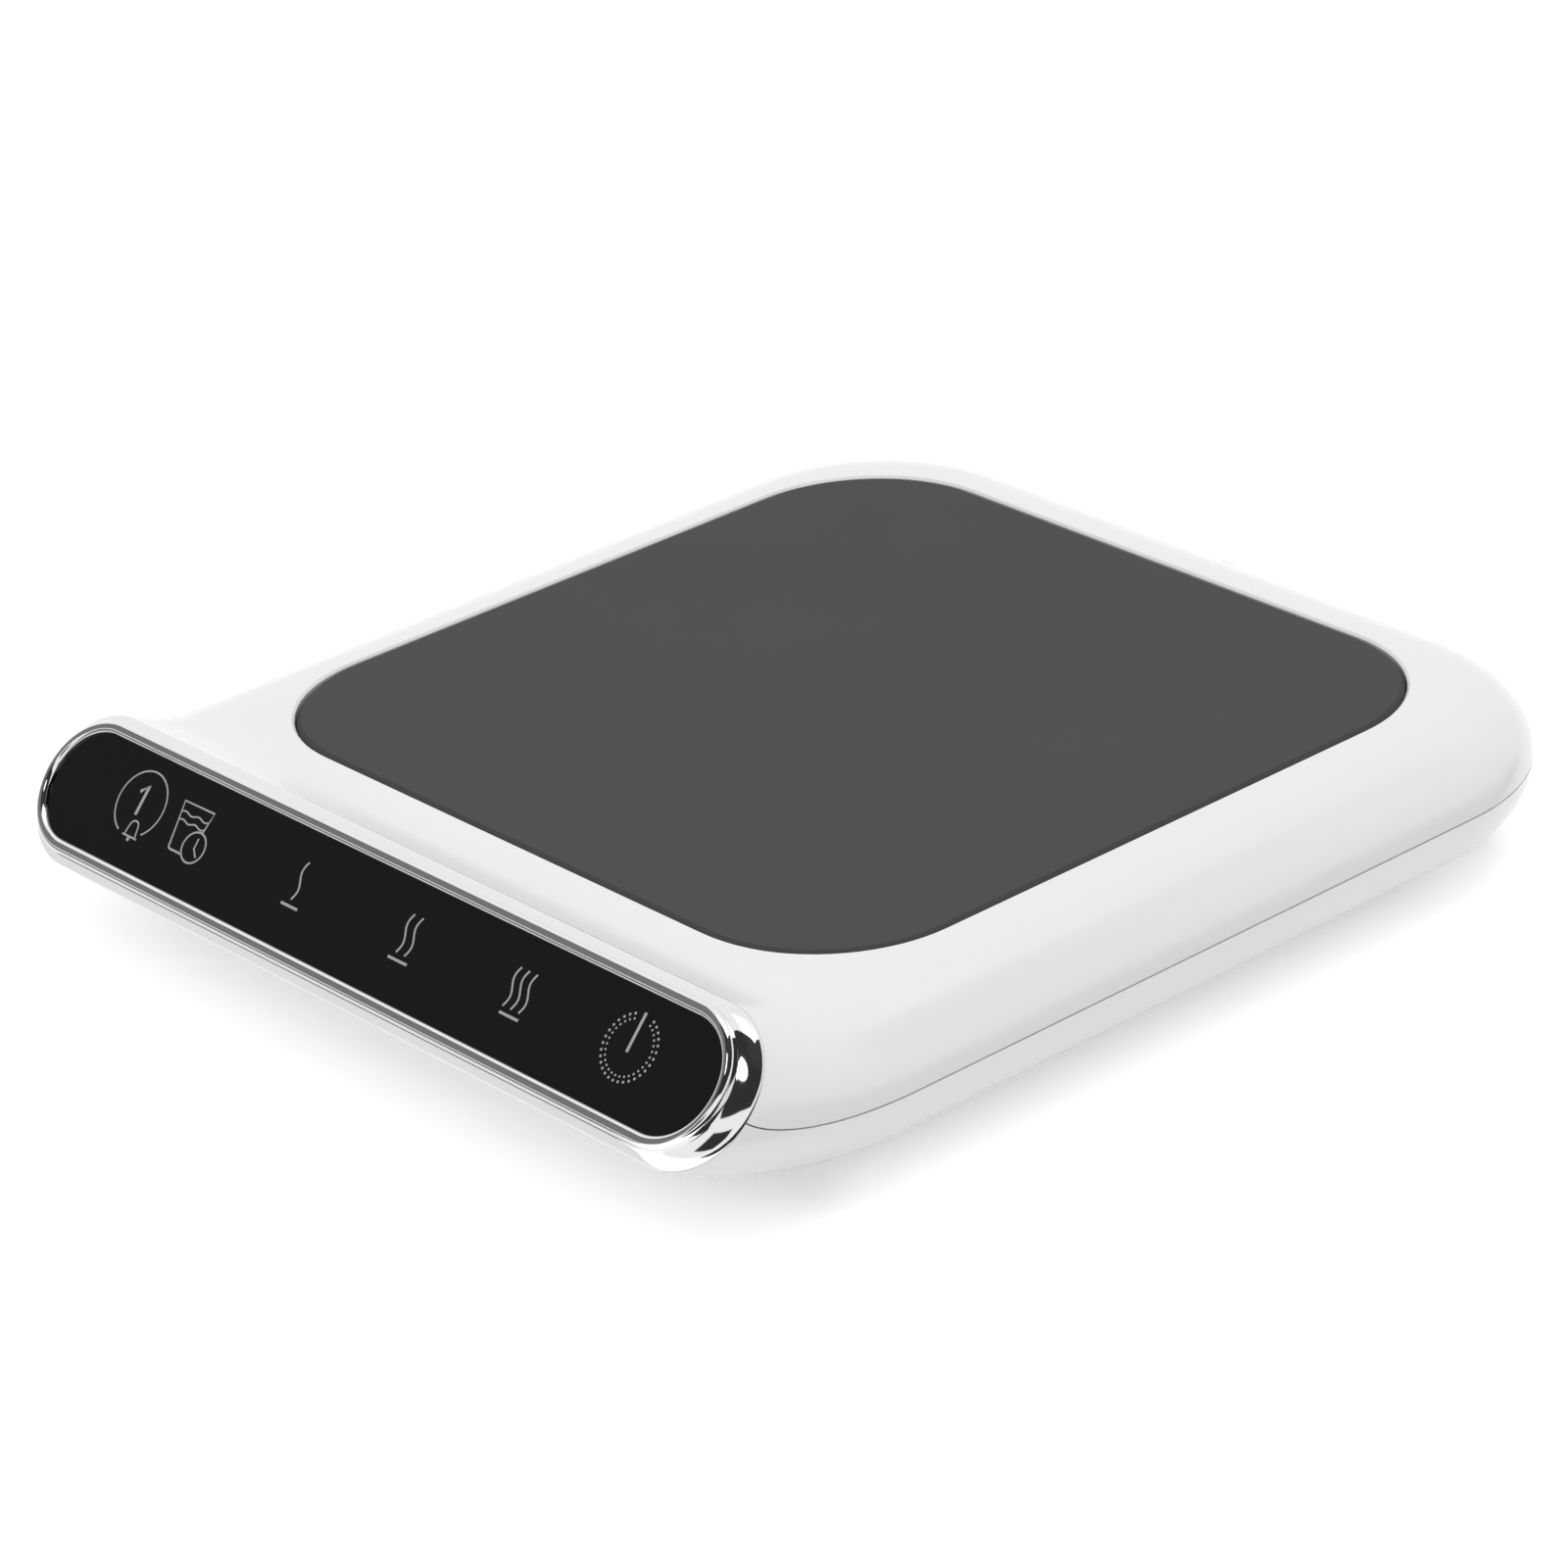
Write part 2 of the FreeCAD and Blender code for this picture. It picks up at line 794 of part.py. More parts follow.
def on_board(size, x, y, lift=0.0):
    """Block of the given size standing on the board about (x, y) from the board's middle."""
    length, depth, height = size
    x0 = x - length / 2
    y0 = board_centre_y + y - depth / 2
    low = board_top + lift
    return box(x0, x0 + length, y0, y0 + depth, low, low + height)


def eased(block):
    return block.makeChamfer(case_ease, block.Edges)


board_front = board_centre_y - board_y / 2
board_rear = board_centre_y + board_y / 2


def film_capacitor():
    return eased(on_board(film_capacitor_size, film_capacitor_x, film_capacitor_y))


def storage_capacitors():
    cans = []
    for x in can_places:
        start = Vector(x, board_centre_y + can_y, board_top + can_radius)
        can = Part.makeCylinder(can_radius, can_length, start, Vector(0, 1, 0))
        ends = [edge for edge in can.Edges if edge.Curve.TypeId == "Part::GeomCircle"]
        cans.append(can.makeChamfer(can_ease, ends))
    return Part.makeCompound(cans)


def transformer():
    """Small ferrite transformer: a core round a wound bobbin."""
    core = on_board(transformer_core, transformer_x, transformer_y)
    bobbin = on_board(transformer_bobbin, transformer_x, transformer_y)
    return core.fuse(eased(bobbin)).removeSplitter()


def power_switch():
    """Triac lying on the board with its drilled metal tab."""
    body = on_board(triac_size, triac_x, triac_y)
    tab = on_board(triac_tab, triac_x, triac_y + triac_tab_reach)
    centre = board_centre_y + triac_y + triac_hole_reach
    hole = upright(triac_hole_radius, triac_x, centre, board_top, top)
    return body.fuse(tab).removeSplitter().cut(hole)


def board_fuse():
    """Glass fuse in two end clips."""
    start = Vector(fuse_x, board_centre_y + fuse_y, board_top + fuse_radius + fuse_lift)
    pieces = [Part.makeCylinder(fuse_tube_radius, fuse_length, start, Vector(0, 1, 0))]
    for offset in (0, fuse_length - fuse_cap_length):
        cap_start = start + Vector(0, offset, 0)
        pieces.append(Part.makeCylinder(fuse_radius, fuse_cap_length, cap_start, Vector(0, 1, 0)))
        pieces.append(on_board(fuse_clip, fuse_x, fuse_y + offset + fuse_cap_length / 2))
    return fused(pieces)


def buzzer():
    y = board_centre_y + buzzer_y
    body = upright(buzzer_radius, buzzer_x, y, board_top, board_top + buzzer_height)
    return body.cut(upright(buzzer_hole_radius, buzzer_x, y, board_top + buzzer_skin, top))


def board_chips():
    return Part.makeCompound([on_board(size, x, y) for size, x, y in chips])


def terminal_block():
    """Screw terminals for the heater leads on the front edge of the board."""
    depth, height = terminal_size[1:]
    y = depth / 2 - board_y / 2
    block = on_board(terminal_size, terminal_x, y)
    crowns = [
        upright(terminal_hole_radius, terminal_x + side * terminal_pitch / 2, board_centre_y + y,
                board_top + height - terminal_hole_depth, board_top + height)
        for side in (-1, 1)
    ]
    return block.cut(Part.makeCompound(crowns))


def board_plugs():
    """Plug for the touch lead at the front, and for the sensor leads at the back."""
    front = on_board(plug_size, touch_plug_place, plug_size[1] / 2 - board_y / 2)
    rear = on_board(plug_size, 0, board_y / 2 - plug_size[1] / 2)
    return Part.makeCompound([front, rear])


# Leads inside the housing

def lead(points, diameter):
    """Round lead along straight runs joined by tangent arcs."""
    edges = []
    start = points[0]
    for before, corner, after in zip(points, points[1:], points[2:]):
        into = (corner - before).normalize()
        out = (after - corner).normalize()
        turn = into.getAngle(out)
        shorter = min((corner - before).Length, (after - corner).Length)
        trim = lead_share * shorter
        radius = trim / math.tan(turn / 2)
        first = corner - into * trim
        last = corner + out * trim
        inward = (out - into).normalize()
        middle = corner + inward * (radius / math.cos(turn / 2) - radius)
        edges.append(Part.makeLine(start, first))
        edges.append(Part.Arc(first, middle, last).toShape())
        start = last
    edges.append(Part.makeLine(start, points[-1]))
    path = Part.Wire(edges)
    heading = points[1] - points[0]
    ring = Part.Wire(Part.makeCircle(diameter / 2, points[0], heading))
    return path.makePipeShell([ring], True, False)


def heater_leads():
    """Supply lead to one foil tail, and the two leads through the thermal fuse to the other."""
    tail_y = -stack_side / 2 - foil_tail
    level = plate_under - lead_diameter / 2 - foil_gap
    down_y = tail_y - tail_turn
    terminal_level = board_top + terminal_size[2] / 2
    near = terminal_x - terminal_pitch / 2
    far = terminal_x + terminal_pitch / 2
    fuse_end = thermal_fuse_length / 2
    direct = [
        Vector(foil_half_x, tail_y, level),
        Vector(foil_half_x, down_y, level),
        Vector(foil_half_x, down_y, terminal_level),
        Vector(far, board_front - terminal_run, terminal_level),
        Vector(far, board_front, terminal_level),
    ]
    to_fuse = [
        Vector(-foil_half_x, tail_y, level),
        Vector(-foil_half_x, down_y, level),
        Vector(-foil_half_x, down_y, fuse_level - fuse_dip),
        Vector(-fuse_end - fuse_run, fuse_place, fuse_level - fuse_dip),
        Vector(-fuse_end - fuse_straight, fuse_place, fuse_level),
        Vector(-fuse_end, fuse_place, fuse_level),
    ]
    from_fuse = [
        Vector(fuse_end, fuse_place, fuse_level),
        Vector(fuse_end + fuse_straight, fuse_place, fuse_level),
        Vector(near, fuse_place + fuse_turn, terminal_level),
        Vector(near, board_front, terminal_level),
    ]
    routes = (direct, to_fuse, from_fuse)
    return Part.makeCompound([lead(route, lead_diameter) for route in routes])


def sensor_leads():
    level = board_top + plug_size[2] / 2
    wires = []
    for x in (-thin_lead, thin_lead):
        wires.append(lead([
            Vector(x, sensor_place, shield_under),
            Vector(x, sensor_place, level),
            Vector(x, board_rear, level),
        ], thin_lead))
    return Part.makeCompound(wires)


def touch_lead():
    """Flat group of thin wires from the touch board's plug down to the main board."""
    back = panel_centre - panel_normal * (touch_board_back + touch_plug_size[2])
    level = board_top + plug_size[2] / 2
    wires = []
    for index in range(touch_wires):
        x = touch_plug_place + (index - (touch_wires - 1) / 2) * touch_wire_pitch
        shift = Vector(x, 0, 0)
        wires.append(lead([
            back + shift,
            back - panel_normal * plug_straight + shift,
            Vector(x, board_front - plug_run, level),
            Vector(x, board_front, level),
        ], thin_lead))
    return Part.makeCompound(wires)


# Pieces of the sloping touch panel, drawn flat with x along it, y up it and z out of it

glass_back = glass_thickness
ledge_front = glass_back + adhesive_thickness
ledge_back = ledge_front + ledge_thickness
guide_front = ledge_front + guide_clearance
touch_board_front = guide_front + guide_depth
touch_board_back = touch_board_front + touch_board_thickness
spigot_long = ring_length - 2 * (wall + spigot_clearance)
spigot_high = ring_height - 2 * (wall + spigot_clearance)


def touch_glass():
    glass = stadium_block(glass_length, glass_height, -glass_back, 0)
    rim = [edge for edge in glass.Edges if edge.BoundBox.ZMin > -glass_thickness / 2]
    return glass.makeChamfer(glass_chamfer, rim)


def panel_adhesive():
    margin = glass_clearance + adhesive_margin
    outer = stadium_block(glass_length - margin, glass_height - margin, -ledge_front, -glass_back)
    inner_x = window_length + 2 * adhesive_margin
    inner_y = window_height + 2 * adhesive_margin
    return outer.cut(stadium_block(inner_x, inner_y, -ledge_front, -glass_back))


def stadium_wire(length, height, level):
    half = height / 2
    flat = length / 2 - half
    right = Vector(flat + half, 0, level)
    left = Vector(-flat - half, 0, level)
    return Part.Wire([
        Part.makeLine(Vector(-flat, -half, level), Vector(flat, -half, level)),
        Part.Arc(Vector(flat, -half, level), right, Vector(flat, half, level)).toShape(),
        Part.makeLine(Vector(flat, half, level), Vector(-flat, half, level)),
        Part.Arc(Vector(-flat, half, level), left, Vector(-flat, -half, level)).toShape(),
    ])


def bead():
    """Rolled rim round the glass."""
    radius = bead_width / 2
    axis_level = bead_stand - radius
    path = stadium_wire(glass_length + bead_width, glass_height + bead_width, axis_level)
    start = path.Edges[0].valueAt(path.Edges[0].FirstParameter)
    ring = Part.Wire(Part.makeCircle(radius, start, Vector(1, 0, 0)))
    roll = path.makePipeShell([ring], True, False)
    collar = stadium_block(bead_length, bead_height, -bead_skirt - bead_width, axis_level)
    return roll.fuse(collar)


def panel_bezel():
    """Chrome bezel: rolled bead, flared band, ledge for the glass and a spigot at the back."""
    band = flow_solid([
        stadium_section(ring_length, ring_height, -band_depth + bezel_gap),
        stadium_section(ring_length, ring_height, -(band_depth + bead_skirt) / 2),
        stadium_section(bead_length + bead_step, bead_height + bead_step, -bead_skirt),
    ])
    spigot_back = ledge_back + spigot_length
    core = stadium_block(spigot_long, spigot_high, -spigot_back, -bead_skirt - bead_width / 2)
    core_x = spigot_long - 2 * spigot_wall
    core_y = spigot_high - 2 * spigot_wall
    hollow = stadium_block(core_x, core_y, -spigot_back, -ledge_back)
    bosses = [
        upright(touch_boss_radius, side * touch_screw_place, 0, -touch_board_front, -ledge_back)
        for side in (-1, 1)
    ]
    shape = band.fuse(core).cut(hollow)
    shape = fused([shape, bead()] + bosses)
    pocket_x = glass_length + 2 * glass_clearance
    pocket_y = glass_height + 2 * glass_clearance
    shape = shape.cut(stadium_block(pocket_x, pocket_y, -ledge_front, wall))
    shape = shape.cut(stadium_block(window_length, window_height, -touch_board_front - through, 0))
    tap = touch_screw_radius + screw_fit
    drills = [
        upright(tap, side * touch_screw_place, 0, -touch_board_front, -ledge_front - touch_screw_skin)
        for side in (-1, 1)
    ]
    return shape.cut(Part.makeCompound(drills))


def lamp_spots():
    return [(x, lamp_lift) for x in lamp_places]


def key_spots():
    return [(x, contact_lift) for x in key_places]


def light_guide():
    """White frame behind the glass with a well for every lamp and every touch contact."""
    nose_x = window_length - 2 * guide_clearance
    nose_y = window_height - 2 * guide_clearance
    nose = stadium_block(nose_x, nose_y, -touch_board_front, -guide_front)
    flange_x = 2 * (touch_screw_place - touch_boss_radius - guide_clearance)
    flange_y = touch_board_height
    step = ledge_back + screw_fit
    flange = stadium_block(flange_x, flange_y, -touch_board_front, -step)
    half = lamp_size / 2 + guide_clearance * 2
    wells = [
        box(x - half, x + half, y - half, y + half, -touch_board_front, 0) for x, y in lamp_spots()
    ]
    bore = contact_radius + guide_clearance
    wells += [upright(bore, x, y, -touch_board_front, 0) for x, y in key_spots()]
    return nose.fuse(flange).removeSplitter().cut(Part.makeCompound(wells))


def touch_board():
    length = 2 * (touch_screw_place + touch_boss_radius + touch_board_margin)
    board = stadium_block(length, touch_board_height, -touch_board_back, -touch_board_front)
    hole = touch_screw_radius + 2 * screw_fit
    drills = [
        upright(hole, side * touch_screw_place, 0, -touch_board_back - through, 0) for side in (-1, 1)
    ]
    return board.cut(Part.makeCompound(drills))


def touch_contacts():
    return Part.makeCompound([
        upright(contact_radius, x, y, -touch_board_front, -glass_back) for x, y in key_spots()
    ])


def indicator_lamps():
    half = lamp_size / 2
    low = -touch_board_front
    return Part.makeCompound([
        box(x - half, x + half, y - half, y + half, low, low + lamp_thickness)
        for x, y in lamp_spots()
    ])


def behind_board(size, x):
    length, depth, height = size
    low = -touch_board_back - height
    return box(x - length / 2, x + length / 2, -depth / 2, depth / 2, low, -touch_board_back)


def touch_screws():
    length = touch_board_back - ledge_front - touch_screw_skin - screw_fit
    return Part.makeCompound([
        headed_screw(side * touch_screw_place, 0, -touch_board_back, touch_screw_radius, length,
                     touch_head_radius, touch_head_height, True)
        for side in (-1, 1)
    ])


# All the pieces, by name

def make_pieces():
    blank = shell_blank()
    free_hole = heater_screw_radius + screw_free
    pieces = {
        "top_shell": top_shell(blank),
        "bottom_shell": bottom_shell(blank),
        "shell_screws": shell_screws(),
        "rubber_feet": rubber_feet(),
        "cord_gland": cord_gland(),
        "heating_plate": heating_plate(),
        "plate_gasket": plate_gasket(),
        "upper_mica": sheet(stack_side, foil_top, mica_thickness, stud_radius + stud_clearance, False),
        "heating_foil": heating_foil(),
        "lower_mica": sheet(stack_side, clamp_top, mica_thickness, stud_radius + stud_clearance, False),
        "clamp_plate": sheet(clamp_side, pad_top, clamp_thickness, free_hole, False),
        "insulation_pad": sheet(clamp_side, shield_top, pad_thickness, free_hole, True),
        "heat_shield": sheet(clamp_side, shield_under, shield_thickness, free_hole, True),
        "heater_screws": heater_screws(),
        "temperature_sensor": temperature_sensor(),
        "sensor_clip": sensor_clip(),
        "thermal_fuse": thermal_fuse(),
        "fuse_strap": fuse_strap(),
        "main_board": main_board(),
        "board_screws": board_screws(),
        "film_capacitor": film_capacitor(),
        "storage_capacitors": storage_capacitors(),
        "transformer": transformer(),
        "power_switch": power_switch(),
        "board_fuse": board_fuse(),
        "buzzer": buzzer(),
        "board_chips": board_chips(),
        "terminal_block": terminal_block(),
        "board_plugs": board_plugs(),
        "heater_leads": heater_leads(),
        "sensor_leads": sensor_leads(),
        "touch_lead": touch_lead(),
        "panel_bezel": on_panel(panel_bezel()),
        "touch_glass": on_panel(touch_glass()),
        "panel_adhesive": on_panel(panel_adhesive()),
        "light_guide": on_panel(light_guide()),
        "touch_board": on_panel(touch_board()),
        "touch_contacts": on_panel(touch_contacts()),
        "indicator_lamps": on_panel(indicator_lamps()),
        "touch_chip": on_panel(behind_board(touch_chip_size, touch_chip_place)),
        "touch_plug": on_panel(behind_board(touch_plug_size, touch_plug_place)),
        "touch_screws": on_panel(touch_screws()),
    }
    return pieces


def front_reach():
    """How far the bezel's lowest front edge lies in front of the plate's middle."""
    level = bead_stand - bead_width / 2
    lowest = panel_centre + panel_normal * level - panel_up * ((glass_height + bead_width) / 2)
    return bead_width / 2 - lowest.y


def main():
    os.makedirs("parts", exist_ok=True)
    middle = (front_reach() - body_rear) / 2
    print("plate middle at y =", round(middle, 3))
    for name, shape in make_pieces().items():
        shape.translate(Vector(0, middle, 0))
        shape.exportStep(f"parts/{name}.step")
        print(name, len(shape.Solids), shape.isValid(), round(shape.Volume, 1))


main()
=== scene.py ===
# %% [markdown]
# # Electric mug warmer
#
# A low white warmer with a square heating plate let into its top, and a sloping black
# touch panel in a chrome bezel along its front edge. Every solid piece comes from the CAD
# frame, which this lesson dresses: it gives each piece its real surface, adds what is
# too fine for the CAD, such as the printed icons, and then lights and photographs it.

# %% Load the frame
import bpy
import bmesh
import math
from mathutils import Matrix, Vector


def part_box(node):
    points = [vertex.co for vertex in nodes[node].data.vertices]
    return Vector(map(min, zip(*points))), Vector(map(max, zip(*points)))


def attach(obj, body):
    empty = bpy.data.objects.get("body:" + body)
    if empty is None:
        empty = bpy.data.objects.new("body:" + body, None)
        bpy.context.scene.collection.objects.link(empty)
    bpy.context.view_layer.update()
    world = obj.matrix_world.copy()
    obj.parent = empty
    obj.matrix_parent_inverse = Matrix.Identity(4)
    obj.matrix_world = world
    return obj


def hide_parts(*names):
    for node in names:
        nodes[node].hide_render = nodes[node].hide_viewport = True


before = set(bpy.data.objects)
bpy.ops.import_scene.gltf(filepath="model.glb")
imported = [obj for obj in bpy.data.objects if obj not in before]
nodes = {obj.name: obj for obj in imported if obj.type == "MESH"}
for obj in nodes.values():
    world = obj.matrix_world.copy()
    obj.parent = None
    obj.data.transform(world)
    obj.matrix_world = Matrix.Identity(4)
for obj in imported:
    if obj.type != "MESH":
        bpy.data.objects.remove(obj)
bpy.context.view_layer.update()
print("pieces in the frame:", len(nodes))

# %% [markdown]
# ## Measures
#
# The CAD is drawn in millimetres and Blender works in metres, so every length here is
# written in millimetres and turned once. The panel has axes of its own: x runs along it,
# v runs up its slope, and n stands out of the glass. A small function turns a place on the
# panel into a place in the room, so the icons can be drawn as if the panel lay flat.

# %% Lengths and the panel's own axes
MM = 0.001
panel_tilt = math.radians(42.0)
panel_up = Vector((0, math.sin(panel_tilt), math.cos(panel_tilt)))
panel_out = Vector((0, -math.cos(panel_tilt), math.sin(panel_tilt)))
glass_low, glass_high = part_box("touch_glass")
plate_low, plate_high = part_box("heating_plate")
plate_middle = Vector((0, (plate_low[1] + plate_high[1]) / 2, plate_high[2]))
panel_forward, panel_drop = 73.4, 2.35
panel_middle = plate_middle + Vector((0, -panel_forward, -panel_drop)) * MM


def on_panel(x, v, n=0.0):
    """A place given in millimetres on the panel, as a point in the room."""
    return panel_middle + (Vector((x, 0, 0)) + panel_up * v + panel_out * n) * MM


print("glass face middle:", [round(value, 4) for value in panel_middle])
print("glass box in mm:", [round((b - a) / MM, 2) for a, b in zip(glass_low, glass_high)])

# %% [markdown]
# ## Colours and nodes
#
# Colours are written as the sRGB hex values that a designer would quote. Blender's shaders
# expect linear light, so one function turns them. A second small function adds a node,
# sets its values and links its inputs, and every material below is made with it.

# %% Hex colours to linear, and one function that adds a node


def linear(hex_colour):
    """The linear red, green, blue and alpha of a colour such as #F0F0F0."""
    parts = [int(hex_colour[i:i + 2], 16) / 255 for i in (1, 3, 5)]
    return [c / 12.92 if c <= 0.04045 else ((c + 0.055) / 1.055) ** 2.4 for c in parts] + [1.0]


def add_node(tree, kind, settings=(), links=()):
    """Adds one node. A setting is an input's default where one has that name."""
    node = tree.nodes.new(kind)
    for name, value in dict(settings).items():
        if isinstance(name, int) or name in node.inputs:
            node.inputs[name].default_value = value
        else:
            setattr(node, name, value)
    for name, source in dict(links).items():
        tree.links.new(source, node.inputs[name])
    return node


print("half-way grey in linear light:", round(linear("#808080")[0], 3))

# %% [markdown]
# ## What every surface has in common
#
# Nothing that comes out of a mould, a press or an oven is perfectly even. Each surface here
# has three layers: a grain that is a bump of a real size, a slow change in its gloss, and a
# slight drift in its colour. The grain and its depth are given in millimetres. Noise is
# used for all three, because it has no repeat that the eye could find.

# %% One function for a grained surface


def surface(name, colour, roughness, grain, depth, gloss_drift=0.04, colour_drift=0.03,
            drift_size=30.0, stretch=(1, 1, 1), **shader):
    """A material with a grain of the given size and depth in mm, and slow drifts."""
    material = bpy.data.materials.new(name)
    material.use_nodes = True
    tree = material.node_tree
    tree.nodes.clear()
    place = add_node(tree, "ShaderNodeTexCoord")
    mapped = add_node(tree, "ShaderNodeMapping", {"Scale": stretch},
                      {"Vector": place.outputs["Object"]})
    fine = add_node(tree, "ShaderNodeTexNoise", {"Scale": 1 / (grain * MM), "Detail": 3.0},
                    {"Vector": mapped.outputs[0]})
    slow = add_node(tree, "ShaderNodeTexNoise", {"Scale": 1 / (drift_size * MM), "Detail": 2.0},
                    {"Vector": mapped.outputs[0]})
    smoothest = max(roughness - gloss_drift, 0.01)
    gloss = add_node(tree, "ShaderNodeMapRange",
                     {"To Min": smoothest, "To Max": roughness + gloss_drift},
                     {"Value": slow.outputs["Fac"]})
    base = linear(colour)
    darker = [c * (1 - colour_drift) for c in base[:3]] + [1.0]
    tint = add_node(tree, "ShaderNodeMix", {"data_type": "RGBA", 6: base, 7: darker},
                    {0: slow.outputs["Fac"]})
    bump = add_node(tree, "ShaderNodeBump", {"Strength": 1.0, "Distance": depth * MM},
                    {"Height": fine.outputs["Fac"]})
    principled = add_node(tree, "ShaderNodeBsdfPrincipled", shader,
                          {"Base Color": tint.outputs[2], "Roughness": gloss.outputs[0],
                           "Normal": bump.outputs[0]})
    add_node(tree, "ShaderNodeOutputMaterial", (), {"Surface": principled.outputs[0]})
    return material


# %% [markdown]
# ## The surfaces you can see
#
# The housing is ABS, moulded in a polished tool, so it is glossy with a very slight orange
# peel. The plate is cast aluminium with a baked matt coating, which is a fine even grit.
# The bezel is plated ABS: a mirror, with the tool's last faint waves under it. The panel is
# tempered glass printed black on its back. After each colour come the roughness, the size
# and the depth of the grain, the drift of the gloss and of the colour, and how large the
# drifting patches are.

# %% Visible finishes
abs_white = surface(
    # injection-moulded in a polished tool: a broad soft gloss and a faint orange peel
    "moulded white ABS", "#EDEDED", 0.24, 1.6, 0.0016, 0.03, 0.012, 40.0, **{"IOR": 1.53})
baked_coating = surface(
    # sprayed and baked on cast aluminium: dry, even and slightly gritty. The real grit is
    # about 0.1 mm and is drawn at 0.3 mm so that it shows
    "baked matt coating", "#474747", 0.8, 0.3, 0.012, 0.04, 0.05, 25.0,
    **{"IOR": 1.5, "Specular IOR Level": 0.3})
plated_chrome = surface(
    # bright chrome over moulded ABS: a mirror with faint waves from the mould
    "bright chrome plate", "#EAEAEA", 0.05, 3.0, 0.0006, 0.015, 0.01, 15.0, **{"Metallic": 1.0})
black_glass = surface(
    # float glass, tempered and printed black on its back: almost perfectly smooth
    "back-printed black glass", "#0E0E0F", 0.07, 6.0, 0.0002, 0.02, 0.05, 40.0,
    **{"IOR": 1.52, "Specular IOR Level": 0.35})
icon_ink = surface(
    # screen-printed enamel ink, a little rough beside the glass
    "screen-printed grey ink", "#A6A6A6", 0.4, 0.2, 0.001, 0.05, 0.04, 6.0, **{"IOR": 1.5})
nitrile = surface(
    # compression-moulded rubber with a matt bloom
    "moulded nitrile rubber", "#2A2A2A", 0.75, 0.35, 0.01, 0.08, 0.12, 9.0, **{"IOR": 1.52})
soft_pvc = surface(
    # a soft white grommet, with the dull skin of moulded PVC
    "moulded soft PVC", "#F4F4F3", 0.5, 0.5, 0.006, 0.06, 0.03, 9.0, **{"IOR": 1.53})
zinc_plated = surface(
    # zinc over steel, barrel-plated, so it is bright with fine scuffs
    "barrel-plated zinc steel", "#B4B7BA", 0.32, 0.25, 0.003, 0.08, 0.1, 3.0, **{"Metallic": 1.0})
visible_finishes = (abs_white, baked_coating, plated_chrome, black_glass, icon_ink, nitrile,
                    soft_pvc, zinc_plated)
print("visible finishes:", [finish.name for finish in visible_finishes])

# %% [markdown]
# ## The surfaces inside
#
# The inside of the warmer isn't seen in a closed product, but each part is dressed for what
# it is, so that it is right if the housing is ever drawn open. The heater comes first: thin
# sheets that are pressed together under the plate.

# %% Finishes of the heater
mill_aluminium = surface(
    # rolled sheet as it leaves the mill, with fine lines along the rolling direction
    "mill-finish aluminium", "#C3C5C8", 0.35, 0.5, 0.002, 0.08, 0.06, 12.0, (0.08, 1, 1),
    **{"Metallic": 1.0})
silicone = surface(
    # moulded silicone: dull, slightly cloudy
    "moulded silicone", "#CFCBC2", 0.55, 0.5, 0.004, 0.05, 0.04, 9.0, **{"IOR": 1.42})
mica = surface(
    # pressed mica paper with resin: flaky, with a broken shine
    "pressed mica sheet", "#B49C6C", 0.45, 1.5, 0.02, 0.18, 0.3, 4.0, **{"IOR": 1.58})
etched_foil = surface(
    # chemically etched resistance foil
    "etched resistance foil", "#B0ACA4", 0.38, 0.4, 0.002, 0.06, 0.08, 8.0, **{"Metallic": 1.0})
ceramic_felt = surface(
    # ceramic fibre laid wet and pressed: a soft, hairy mat
    "ceramic fibre felt", "#E2DED2", 0.95, 0.6, 0.15, 0.04, 0.1, 3.0, **{"IOR": 1.45})
heater_finishes = (mill_aluminium, silicone, mica, etched_foil, ceramic_felt)
print("heater finishes:", [finish.name for finish in heater_finishes])

# %% [markdown]
# The boards and what is soldered on them are bought parts, and each keeps the colour that
# its maker gives it: green resist, black epoxy, a yellow capacitor box, milky nylon.

# %% Finishes of the boards
laminate = surface(
    # woven glass and epoxy under green solder resist; the weave shows as a 0.5 mm grain
    "green solder resist", "#1C6B3C", 0.35, 0.5, 0.006, 0.06, 0.12, 6.0, **{"IOR": 1.52})
black_epoxy = surface(
    # transfer-moulded epoxy, matt from the tool
    "transfer-moulded epoxy", "#1E1E20", 0.6, 0.15, 0.004, 0.05, 0.08, 4.0, **{"IOR": 1.55})
yellow_case = surface(
    # polypropylene box of a film capacitor
    "moulded yellow polypropylene", "#D6B23A", 0.4, 0.3, 0.003, 0.05, 0.05, 6.0, **{"IOR": 1.49})
shrunk_sleeve = surface(
    # PVC sleeve shrunk on an aluminium can
    "shrunk dark blue sleeve", "#20283C", 0.3, 0.6, 0.003, 0.06, 0.08, 4.0, **{"IOR": 1.53})
green_polyamide = surface(
    # glass-filled polyamide, slightly rough
    "moulded green polyamide", "#2F7C4B", 0.5, 0.25, 0.004, 0.05, 0.06, 5.0, **{"IOR": 1.53})
nylon = surface(
    # unpigmented nylon: milky, with some light inside it
    "natural nylon", "#E6E2D3", 0.42, 0.4, 0.002, 0.05, 0.03, 6.0,
    **{"IOR": 1.53, "Subsurface Weight": 0.15, "Subsurface Scale": 0.0008})
wire_sleeve = surface(
    # extruded silicone over stranded copper
    "extruded silicone sleeve", "#DAD6CC", 0.5, 0.4, 0.003, 0.05, 0.05, 6.0, **{"IOR": 1.42})
conductive_foam = surface(
    # carbon-loaded foam with open cells of about 0.3 mm
    "conductive foam", "#2C2C2E", 0.9, 0.3, 0.08, 0.05, 0.2, 2.0, **{"IOR": 1.5})
lamp_resin = surface(
    # clear resin over a phosphor
    "cast lamp resin", "#EDE6C2", 0.25, 0.3, 0.001, 0.04, 0.05, 2.0, **{"IOR": 1.5})
